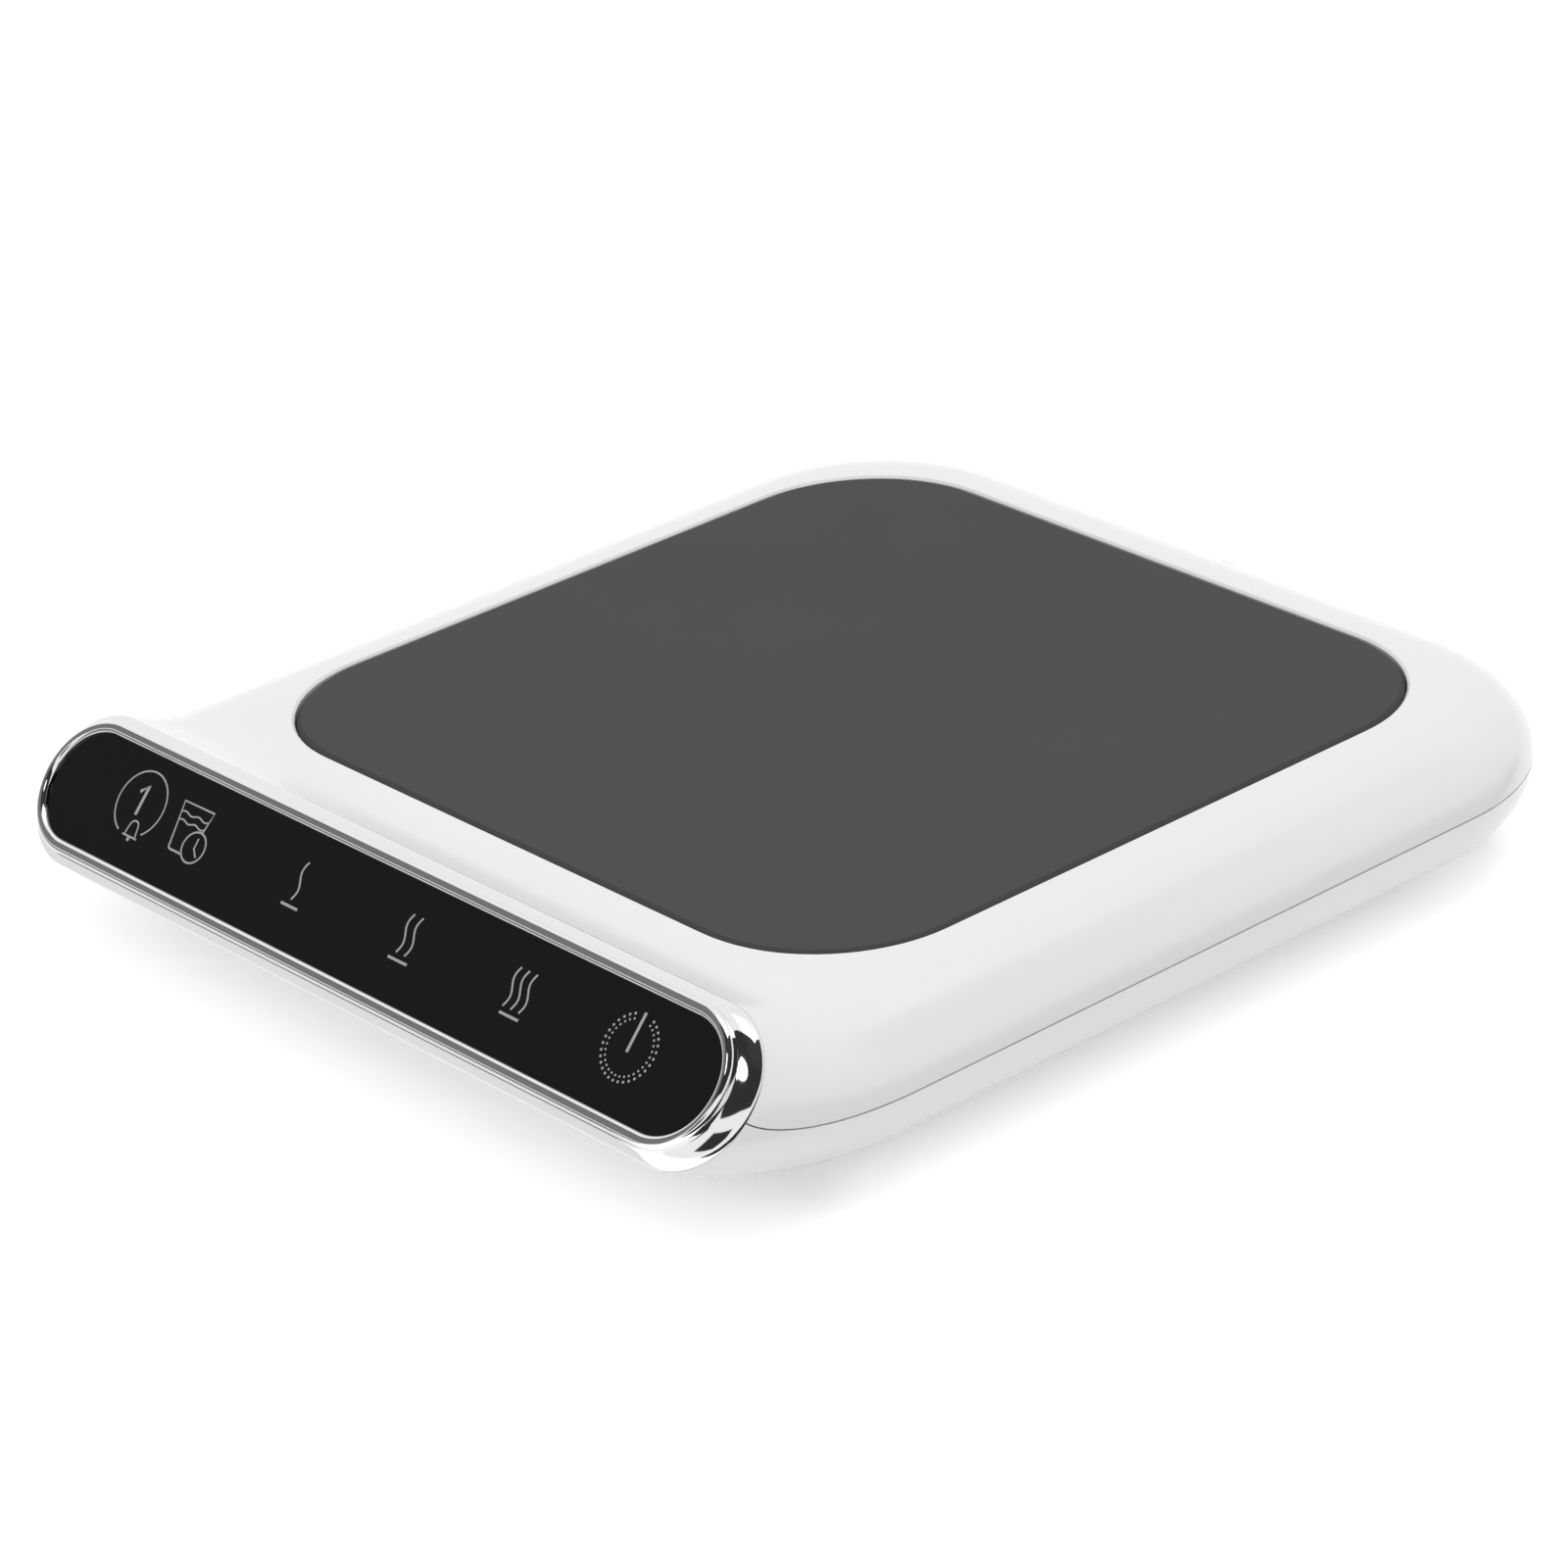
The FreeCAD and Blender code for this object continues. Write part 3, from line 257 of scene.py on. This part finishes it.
foam_tape = surface(
    # acrylic foam tape, die-cut
    "die-cut foam tape", "#1B1B1B", 0.8, 0.2, 0.02, 0.05, 0.1, 5.0, **{"IOR": 1.48})
fuse_tube = surface(
    # drawn glass tube between nickel caps
    "drawn glass tube", "#C8CCC8", 0.1, 0.8, 0.0005, 0.04, 0.05, 5.0, **{"IOR": 1.52})
board_finishes = (laminate, black_epoxy, yellow_case, shrunk_sleeve, green_polyamide, nylon,
                  wire_sleeve, conductive_foam, lamp_resin, foam_tape, fuse_tube)
print("board finishes:", [finish.name for finish in board_finishes])

# %% [markdown]
# ## Dressing the CAD pieces
#
# The CAD sends its curves as small flat facets. Marking every face smooth would also round
# the true corners, so faces are smoothed and the edges that turn more than 30 degrees are
# kept sharp. Each piece then gets the material that it would really be made of.

# %% Which piece has which finish
finishes = {
    abs_white: ["top_shell", "bottom_shell"],
    baked_coating: ["heating_plate"],
    plated_chrome: ["panel_bezel"],
    black_glass: ["touch_glass"],
    nitrile: ["rubber_feet"],
    soft_pvc: ["cord_gland"],
    zinc_plated: ["shell_screws", "heater_screws", "board_screws", "touch_screws", "clamp_plate",
                  "sensor_clip", "thermal_fuse", "fuse_strap"],
    mill_aluminium: ["heat_shield", "temperature_sensor"],
    silicone: ["plate_gasket"],
    mica: ["upper_mica", "lower_mica"],
    etched_foil: ["heating_foil"],
    ceramic_felt: ["insulation_pad"],
    laminate: ["main_board", "touch_board"],
    black_epoxy: ["transformer", "power_switch", "buzzer", "board_chips", "touch_chip"],
    yellow_case: ["film_capacitor"],
    shrunk_sleeve: ["storage_capacitors"],
    fuse_tube: ["board_fuse"],
    green_polyamide: ["terminal_block"],
    nylon: ["board_plugs", "touch_plug", "light_guide"],
    wire_sleeve: ["heater_leads", "sensor_leads", "touch_lead"],
    conductive_foam: ["touch_contacts"],
    lamp_resin: ["indicator_lamps"],
    foam_tape: ["panel_adhesive"],
}


def dress(piece, material):
    """Gives a piece its one material."""
    piece.data.materials.clear()
    piece.data.materials.append(material)


true_corner = math.radians(30)
for material, names in finishes.items():
    for name in names:
        dress(nodes[name], material)
        nodes[name].data.shade_smooth()
        nodes[name].data.set_sharp_from_angle(angle=true_corner)
bare = sorted(set(nodes) - {name for names in finishes.values() for name in names})
print("pieces with no finish:", bare)

# %% [markdown]
# ## Making a new piece
#
# New pieces are meshes built from points and faces. They ride on the product's one body and
# take one of the finishes made above.

# %% A mesh from points and faces
drawn_corner = math.radians(35)


def new_piece(name, points, faces, material, smooth=True):
    """A mesh piece that rides on the product."""
    mesh = bpy.data.meshes.new(name)
    mesh.from_pydata([tuple(point) for point in points], [], faces)
    mesh.update()
    editable = bmesh.new()
    editable.from_mesh(mesh)
    bmesh.ops.recalc_face_normals(editable, faces=editable.faces)
    editable.to_mesh(mesh)
    editable.free()
    piece = bpy.data.objects.new(name, mesh)
    bpy.context.scene.collection.objects.link(piece)
    dress(piece, material)
    if smooth:
        mesh.shade_smooth()
        mesh.set_sharp_from_angle(angle=drawn_corner)
    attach(piece, "root")
    return piece


# %% [markdown]
# ## The printed icons
#
# The icons are thin lines of grey ink on the glass. They could be a texture, but at this
# size a texture blurs, so each line is a ribbon of real geometry: a flat strip of the
# line's width that stands a hundredth of a millimetre proud of the glass. A ribbon
# follows a list of places on the panel, and each of its joints is cut halfway between the
# directions of the two strips that meet there.

# %% Ribbons on the glass
ripple_line = 0.2
fine_line = 0.22
clock_line = 0.24
plain_line = 0.27
underline = 0.33
bold_line = 0.42
numeral_line = 0.48
ink_height = 0.012


def ribbon(places, width=plain_line, closed=False):
    """Points and faces of a line of ink through places on the panel."""
    count = len(places)
    points, faces = [], []
    for index, (x, v) in enumerate(places):
        before = places[index - 1] if index > 0 or closed else places[index]
        after = places[(index + 1) % count] if index < count - 1 or closed else places[index]
        along = Vector((after[0] - before[0], after[1] - before[1])).normalized()
        side = Vector((-along.y, along.x)) * width / 2
        points.append(on_panel(x + side.x, v + side.y, ink_height))
        points.append(on_panel(x - side.x, v - side.y, ink_height))
    for index in range(count if closed else count - 1):
        a, b = 2 * index, 2 * ((index + 1) % count)
        faces.append((a, a + 1, b + 1, b))
    return points, faces


print("thinnest and boldest line in mm:", ripple_line, numeral_line)

# %% [markdown]
# A dot is one flat face with many corners, and an arc is a list of places that a ribbon can
# follow. An icon joins its ribbons and dots into one piece, since one screen prints it.

# %% Dots, arcs and whole icons


def dot(x, v, radius, sides=16):
    """Points and one face of a round dot of ink."""
    turns = [2 * math.pi * step / sides for step in range(sides)]
    points = [on_panel(x + radius * math.cos(turn), v + radius * math.sin(turn), ink_height)
              for turn in turns]
    return points, [tuple(range(sides))]


def arc(x, v, radius, start, end, steps=48):
    """Places along an arc, with its angles in degrees."""
    turns = [math.radians(start + (end - start) * step / steps) for step in range(steps + 1)]
    return [(x + radius * math.cos(t), v + radius * math.sin(t)) for t in turns]


def printed(name, marks):
    """One icon made of several ribbons and dots."""
    points, faces = [], []
    for mark_points, mark_faces in marks:
        offset = len(points)
        points += mark_points
        faces += [tuple(index + offset for index in face) for face in mark_faces]
    print(name, "marks:", len(marks))
    return new_piece(name, points, faces, icon_ink, smooth=False)


# %% [markdown]
# ### Power
#
# Two rings of dots, open at the top, with a bar through the gap.

# %% Power icon
power_x, power_v = 44.8, 0.6
ring_places = 32
gap_half_angle = 14
power_marks = []
for ring_radius, dot_radius in ((3.3, 0.14), (3.9, 0.17)):
    for place in range(ring_places):
        turn = 360 * place / ring_places
        if min(turn, 360 - turn) > gap_half_angle:
            angle = math.radians(90 + turn)
            power_marks.append(dot(power_x + ring_radius * math.cos(angle),
                                   power_v + ring_radius * math.sin(angle), dot_radius))
power_marks.append(ribbon([(44.7, 0.03), (44.7, 4.76)], bold_line))
printed("power_icon", power_marks)

# %% [markdown]
# ### Heat levels
#
# Steam rising from a surface: one, two or three waves over a short underline. A wave is a
# soft S, which a sine curve draws well.

# %% Heat icons


def wave(x, top, bottom, swing=0.4, steps=32):
    """A line of steam that sways once to each side."""
    places = []
    for step in range(steps + 1):
        share = step / steps
        places.append((x - swing * math.sin(2 * math.pi * share), top + (bottom - top) * share))
    return ribbon(places)


def heat_icon(name, start, end, level, waves, top, bottom):
    """An underline from start to end at its level, with waves of steam over it."""
    surface_line = ribbon([(start, level), (end, level)], underline)
    printed(name, [surface_line] + [wave(x, top, bottom) for x in waves])


heat_icon("high_heat_icon", 24.9, 28.15, -2.15, (24.95, 26.3, 27.65), 3.3, -1.4)
heat_icon("medium_heat_icon", 5.45, 8.8, -2.12, (6.3, 7.8), 3.35, -1.35)
heat_icon("low_heat_icon", -14.0, -11.0, -2.05, (-12.75,), 3.4, -1.3)

# %% [markdown]
# ### Timer
#
# A tumbler with a small clock over its corner, and beside it a ring with the time inside
# and a little bell in its gap.

# %% Timer icons
tumbler = [(-31.05, 1.06), (-30.7, 3.62), (-36.24, 3.57), (-35.25, -1.75)]
tumbler += arc(-34.8, -1.8, 0.45, 180, 270, 8) + [(-32.75, -2.25)]
clock_rim = arc(-31.3, -0.95, 1.9, 0, 352.5, 47)
clock_hands = [(-31.17, 0.25), (-31.14, -1.03), (-30.25, -1.9)]


def ripple(x0, x1, v, swing=0.14, steps=24):
    """A short level wave."""
    return ribbon([
        (x0 + (x1 - x0) * step / steps, v + swing * math.sin(4 * math.pi * step / steps))
        for step in range(steps + 1)
    ], ripple_line)


printed("tumbler_icon", [
    ribbon(tumbler),
    ripple(-35.9, -31.0, 2.32),
    ripple(-35.7, -31.1, 1.33),
    ribbon(clock_rim, clock_line, closed=True),
    ribbon(clock_hands, clock_line),
])
time_ring = arc(-42.85, 0.95, 4.08, -54, 248, 90)
numeral = [(-43.95, 2.2), (-42.9, 3.3), (-42.9, -0.5)]
bell_crown = arc(-42.15, -1.85, 0.75, 170, 10, 16)
bell = [(-43.05, -3.08), (-42.95, -2.0)] + bell_crown + [(-41.35, -2.0), (-41.1, -3.08)]
bell_mouth = [(-43.4, -3.08), (-40.75, -3.08)]
printed("timer_icon", [
    ribbon(time_ring, fine_line),
    ribbon(numeral, numeral_line),
    ribbon(bell, fine_line),
    ribbon(bell_mouth, clock_line),
    dot(-42.1, -3.42, 0.26),
])

# %% [markdown]
# ## The chrome bezel
#
# A mirror shows every facet, so the bezel that you see is made here at a much finer
# step than the CAD needs. It is one profile carried round a stadium, which is a rectangle
# with round ends: a rolled bead that stands over the glass and laps its edge, a short drop,
# and a band that flares out to meet the housing.

# %% Measures of the bezel
bead_width = 1.25
bead_stand = 0.7
bead_skirt = 0.7
band_depth = 2.3
flare_at_ends, flare_at_sides = 2.5, 1.25
glass_long, glass_tall = 118.0, 14.6
bead_long, bead_tall = glass_long + 2 * bead_width, glass_tall + 2 * bead_width
ring_long, ring_tall = bead_long + 2 * flare_at_ends, bead_tall + 2 * flare_at_sides
print("bead in mm:", bead_long, "x", bead_tall)
print("band in mm:", ring_long, "x", ring_tall)

# %% [markdown]
# A section is a ring of places round a stadium at one level over the glass. Two round ends
# joined by two straight sides are drawn from the angle alone, with many steps at the ends,
# where the mirror turns fastest. The skin then joins each ring to the next.

# %% Stadium sections and the skin between them
end_steps = 64
side_steps = 24


def stadium(reach, half, level):
    """Places round a stadium: half its length, half its height, and its level over the glass."""
    flat = reach - half
    places = []
    for side in (1, -1):
        for step in range(end_steps + 1):
            turn = math.pi * (step / end_steps - 0.5)
            places.append((side * (flat + half * math.cos(turn)), side * half * math.sin(turn)))
        for step in range(1, side_steps):
            places.append((side * flat * (1 - 2 * step / side_steps), side * half))
    return [on_panel(x, v, level) for x, v in places]


def skin(name, sections, material):
    """Faces that join each ring of places to the next."""
    count = len(sections[0])
    faces = []
    for row in range(len(sections) - 1):
        for index in range(count):
            following = (index + 1) % count
            faces.append((row * count + index, row * count + following,
                          (row + 1) * count + following, (row + 1) * count + index))
    points = [point for ring in sections for point in ring]
    return new_piece(name, points, faces, material)


print("places in a section:", len(stadium(bead_long / 2, bead_tall / 2, 0)))

# %% [markdown]
# The skin starts beside the glass's edge with a short inner wall, and rises into the bead:
# a little more than half a turn, whose inner lip laps the glass. The lap is wider along
# the long edges than at the ends, so a section is pulled inward by more there.

# %% The inner wall and the rolled bead
bead_radius = bead_width / 2
bead_level = bead_stand - bead_radius
lip_at_ends, lip_at_sides = 0.1, 0.4
glass_gap = 0.1
wall_foot, wall_head = -1.7, 0.03
bead_start, bead_sweep, bead_steps = 1.02, 1.14, 24
skirt_edge = 0.05
inner_reach, inner_half = glass_long / 2 + glass_gap, glass_tall / 2 + glass_gap
bezel_rings = [stadium(inner_reach, inner_half, level) for level in (wall_foot, wall_head)]
for step in range(bead_steps + 1):
    turn = math.pi * (bead_start - bead_sweep * step / bead_steps)
    inward = (1 - math.cos(turn)) / 2
    reach = bead_long / 2 - (bead_width + lip_at_ends) * inward
    half = bead_tall / 2 - (bead_width + lip_at_sides) * inward
    bezel_rings.append(stadium(reach, half, bead_level + bead_radius * math.sin(turn)))
bezel_rings.append(stadium(bead_long / 2, bead_tall / 2, -bead_skirt + skirt_edge))
print("sections of the wall and the bead:", len(bezel_rings))

# %% [markdown]
# The band leaves the bead outward and a little back, and turns straight back to meet the
# housing. Three places, each a reach, a half height and a level, are the start, the pull
# and the end of that curve, and the steps between them are weighted as in a Bezier curve.
# The last section closes the back, a hair in front of the housing's ring.

# %% The flared band
ledge = 0.1
back_gap = 0.12
back_margin = 3.0
band_steps = 16
start = (bead_long / 2 + ledge, bead_tall / 2 + ledge, -bead_skirt)
pull = (ring_long / 2, ring_tall / 2, -(band_depth + bead_skirt) / 2)
end = (ring_long / 2, ring_tall / 2, -band_depth + back_gap)
for step in range(band_steps + 1):
    t = step / band_steps
    weights = ((1 - t) ** 2, 2 * t * (1 - t), t * t)
    reach, half, level = [
        sum(weight * place[axis] for weight, place in zip(weights, (start, pull, end)))
        for axis in range(3)
    ]
    bezel_rings.append(stadium(reach, half, level))
bezel_rings.append(stadium(ring_long / 2 - back_margin, ring_tall / 2 - back_margin,
                           -band_depth + back_gap))
chrome_bezel = skin("chrome_bezel", bezel_rings, plated_chrome)
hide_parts("panel_bezel")
print("bezel faces:", len(chrome_bezel.data.polygons))

# %% [markdown]
# ## The room
#
# The product stands on a plain white floor that runs into a white background. The floor
# keeps the soft shadow under the product. Only what the camera, a mirror or glass sees of
# the background is made pure white, and the light on the product itself stays plain. So
# both materials ask first what kind of ray is looking.

# %% What is seen directly


def seen_directly(tree):
    """1 where the camera, a mirror or glass looks at the surface, and 0 for the light it sheds."""
    ray = add_node(tree, "ShaderNodeLightPath")
    shown = ray.outputs["Is Camera Ray"]
    for kind in ("Is Glossy Ray", "Is Transmission Ray"):
        shown = add_node(tree, "ShaderNodeMath", {"operation": "MAXIMUM"},
                         {0: shown, 1: ray.outputs[kind]}).outputs[0]
    return shown


# %% [markdown]
# The floor is white paper with a glow that only shows where it is seen directly. It lies a
# hair below the feet's soles, so that the two don't share a face.

# %% Floor
floor_size = 6.0
floor_gap = 0.1
floor_glow = 0.42


def white_floor():
    """A wide white floor under the product."""
    bpy.ops.mesh.primitive_plane_add(size=floor_size, location=(0, 0, -floor_gap * MM))
    floor = bpy.context.object
    floor.name = "floor"
    material = bpy.data.materials.new("white paper sweep")
    material.use_nodes = True
    tree = material.node_tree
    tree.nodes.clear()
    paper = add_node(tree, "ShaderNodeBsdfDiffuse", {"Color": linear("#F4F4F4")})
    glow = add_node(tree, "ShaderNodeEmission", {"Strength": floor_glow})
    both = add_node(tree, "ShaderNodeAddShader", (), {0: paper.outputs[0], 1: glow.outputs[0]})
    choice = add_node(tree, "ShaderNodeMixShader", (),
                      {0: seen_directly(tree), 1: paper.outputs[0], 2: both.outputs[0]})
    add_node(tree, "ShaderNodeOutputMaterial", (), {"Surface": choice.outputs[0]})
    floor.data.materials.append(material)
    print("floor in metres:", floor_size, "with a glow of", floor_glow)


white_floor()

# %% [markdown]
# The room is an even white light from all sides. Its level is set for the product, and what
# is seen of it directly is shown at full white.

# %% Background
room_light = 0.7


def white_room(level):
    """World light of an even level, shown as pure white where it is seen directly."""
    world = bpy.data.worlds.new("white room")
    bpy.context.scene.world = world
    world.use_nodes = True
    tree = world.node_tree
    tree.nodes.clear()
    plain = add_node(tree, "ShaderNodeBackground", {"Color": (1, 1, 1, 1), "Strength": level})
    shown = add_node(tree, "ShaderNodeBackground", {"Color": (1, 1, 1, 1), "Strength": 1.0})
    choice = add_node(tree, "ShaderNodeMixShader", (),
                      {0: seen_directly(tree), 1: plain.outputs[0], 2: shown.outputs[0]})
    add_node(tree, "ShaderNodeOutputWorld", (), {"Surface": choice.outputs[0]})
    print("room light:", level)


white_room(room_light)

# %% [markdown]
# ## The light
#
# One large softbox overhead gives the top its even brightness, and a second, dimmer
# one at the front left opens the shaded sides.

# %% Softboxes


def softbox(name, place, aim, size, watts):
    """A square area light at a place in metres, turned to its aim."""
    light = bpy.data.lights.new(name, "AREA")
    light.shape = "SQUARE"
    light.size = size
    light.energy = watts
    lamp = bpy.data.objects.new(name, light)
    lamp.location = place
    lamp.rotation_euler = (Vector(aim) - Vector(place)).to_track_quat("-Z", "Y").to_euler()
    bpy.context.scene.collection.objects.link(lamp)
    print(name, "watts:", watts)
    return lamp


product = (0, 0, 0)
softbox("overhead softbox", (0.1, 0.1, 1.0), product, 0.8, 3.0)
softbox("front softbox", (-0.5, -0.9, 0.6), product, 0.6, 0.6)

# %% [markdown]
# ### Cards for the mirror and the glass
#
# A photographer gives chrome and black glass their depth with dark cards: without them
# a mirror in a white room is only white. The cards are for reflections alone, so the camera
# doesn't see them and they cast no shade. They glow with an even tone of their own, so that
# a card looks the same wherever the lamps stand.

# %% A card and its paper


def card_paper(name, colour):
    """An even tone that doesn't depend on how the card is lit."""
    material = bpy.data.materials.new(name)
    material.use_nodes = True
    tree = material.node_tree
    tree.nodes.clear()
    tone = add_node(tree, "ShaderNodeEmission", {"Color": linear(colour), "Strength": 1.0})
    add_node(tree, "ShaderNodeOutputMaterial", (), {"Surface": tone.outputs[0]})
    return material


def card(name, corners, paper):
    """A flat card that only mirrors and glossy surfaces see."""
    mesh = bpy.data.meshes.new(name)
    mesh.from_pydata([tuple(corner) for corner in corners], [], [tuple(range(len(corners)))])
    board = bpy.data.objects.new(name, mesh)
    bpy.context.scene.collection.objects.link(board)
    board.data.materials.append(paper)
    board.visible_camera = False
    board.visible_diffuse = False
    board.visible_shadow = False
    return board


grey_paper = card_paper("grey card", "#7C7C7C")
dark_paper = card_paper("dark card", "#343434")
pale_paper = card_paper("pale card", "#F0F0F0")
print("card papers:", [paper.name for paper in (grey_paper, dark_paper, pale_paper)])

# %% [markdown]
# A grey card stands where the glass and the bead look, up and to the front left. Two dark
# ones give the chrome's right end its patch and, below it, its small facet, with a strip
# of white between them. Their outlines are in metres from the end of the bezel.

# %% Standing and hanging cards
toward_panel = Vector((-0.684, -0.494, 0.536)).normalized()
card_distance, card_half_width, card_half_height = 0.9, 0.7, 0.45
across = toward_panel.cross(Vector((0, 0, 1))).normalized() * card_half_width
upward = across.cross(toward_panel).normalized() * card_half_height
panel_card = panel_middle + toward_panel * card_distance
card("panel card", [panel_card - across - upward, panel_card + across / 2 - upward,
                    panel_card + across / 2 + upward, panel_card - across + upward], grey_paper)

chrome_end = on_panel(61, 0)
patch_over, facet_before = 0.45, 0.6
patch_outline = [(-0.3, -0.17), (0.02, 0.04), (0.1, 0.5), (0.9, 0.6),
                 (0.9, -0.3), (0.2, -0.5), (-0.05, -0.64), (-0.3, -0.45)]
card("patch card", [chrome_end + Vector((x, y, patch_over)) for x, y in patch_outline], dark_paper)
facet_outline = [(-0.06, 0.1), (0.16, 0.06), (0.3, 0.16), (0.3, 0.3), (-0.02, 0.3)]
card("facet card", [chrome_end + Vector((x, -facet_before, z)) for x, z in facet_outline],
     dark_paper)
print("right end of the bezel:", [round(value, 4) for value in chrome_end])

# %% [markdown]
# More cards lie on the floor, for the parts of the chrome that look down. The far grey one
# draws a line along the panel's lower edge, the near pale one takes the band below it down
# from pure white, and the dark one at the side fills the lower half of the right end.

# %% Cards on the floor
card_lift = 1 * MM


def floor_card(name, outline, paper):
    """A card that lies just over the floor."""
    return card(name, [(x, y, card_lift) for x, y in outline], paper)


side_outline = [(0.075, -0.2), (0.5, -0.2), (0.5, 0.5), (0.075, 0.5)]
far_outline = [(-0.9, -0.1), (0.02, -0.1), (-0.1, -0.3), (-0.5, -0.9), (-1.2, -0.9)]
near_outline = [(-0.3, -0.074), (0.05, -0.074), (0.02, -0.1), (-0.3, -0.1)]
floor_card("side card", side_outline, dark_paper)
floor_card("far floor card", far_outline, grey_paper)
floor_card("near floor card", near_outline, pale_paper)
print("cards lie over the floor by mm:", card_lift / MM)

# %% [markdown]
# A little round softbox shines in the chrome's dark patch, as a highlight with soft ends.

# %% The highlight in the patch
toward_spot, spot_distance = Vector((-0.1, -0.49, 0.87)), 0.35
spot_width, spot_height, spot_watts = 0.1, 0.065, 0.045
spot_place = chrome_end + toward_spot * spot_distance
spot = softbox("round softbox", spot_place, chrome_end, spot_width, spot_watts)
spot.data.shape = "ELLIPSE"
spot.data.size_y = spot_height
spot.visible_camera = False

# %% [markdown]
# ## The camera
#
# The camera stands where the photograph's camera stood. The square plate gave the angles:
# 49 degrees round to the right and 26 degrees above the table, with a slight roll. The
# three columns of its matrix are what it calls right, up and back. Its place is given in
# hundredths of the plate's side, and its lens as a focal length in pixels of the frame.

# %% Camera
plate_unit = 1.04 * MM
around, above, roll = (math.radians(value) for value in (49.45, 25.81, -3.41))
shift_right, shift_up, distance = -7.28, -10.12, 700.8
focal_pixels, frame_pixels = 6267, 1600
back = Vector((math.sin(around) * math.cos(above), -math.cos(around) * math.cos(above),
               math.sin(above)))
level_right = Vector((math.cos(around), math.sin(around), 0))
level_up = back.cross(level_right)
right = level_right * math.cos(roll) + level_up * math.sin(roll)
up = level_up * math.cos(roll) - level_right * math.sin(roll)
camera_offset = right * shift_right + up * shift_up + back * distance
camera_place = plate_middle + camera_offset * plate_unit
camera_data = bpy.data.cameras.new("camera")
camera_data.sensor_width = 36
camera_data.lens = camera_data.sensor_width * focal_pixels / frame_pixels
camera = bpy.data.objects.new("camera", camera_data)
bpy.context.scene.collection.objects.link(camera)
camera.matrix_world = Matrix((
    (right.x, up.x, back.x, camera_place.x),
    (right.y, up.y, back.y, camera_place.y),
    (right.z, up.z, back.z, camera_place.z),
    (0, 0, 0, 1),
))
bpy.context.scene.camera = camera
bpy.context.scene.view_settings.view_transform = "Standard"
print("camera distance:", round(camera_place.length, 3))
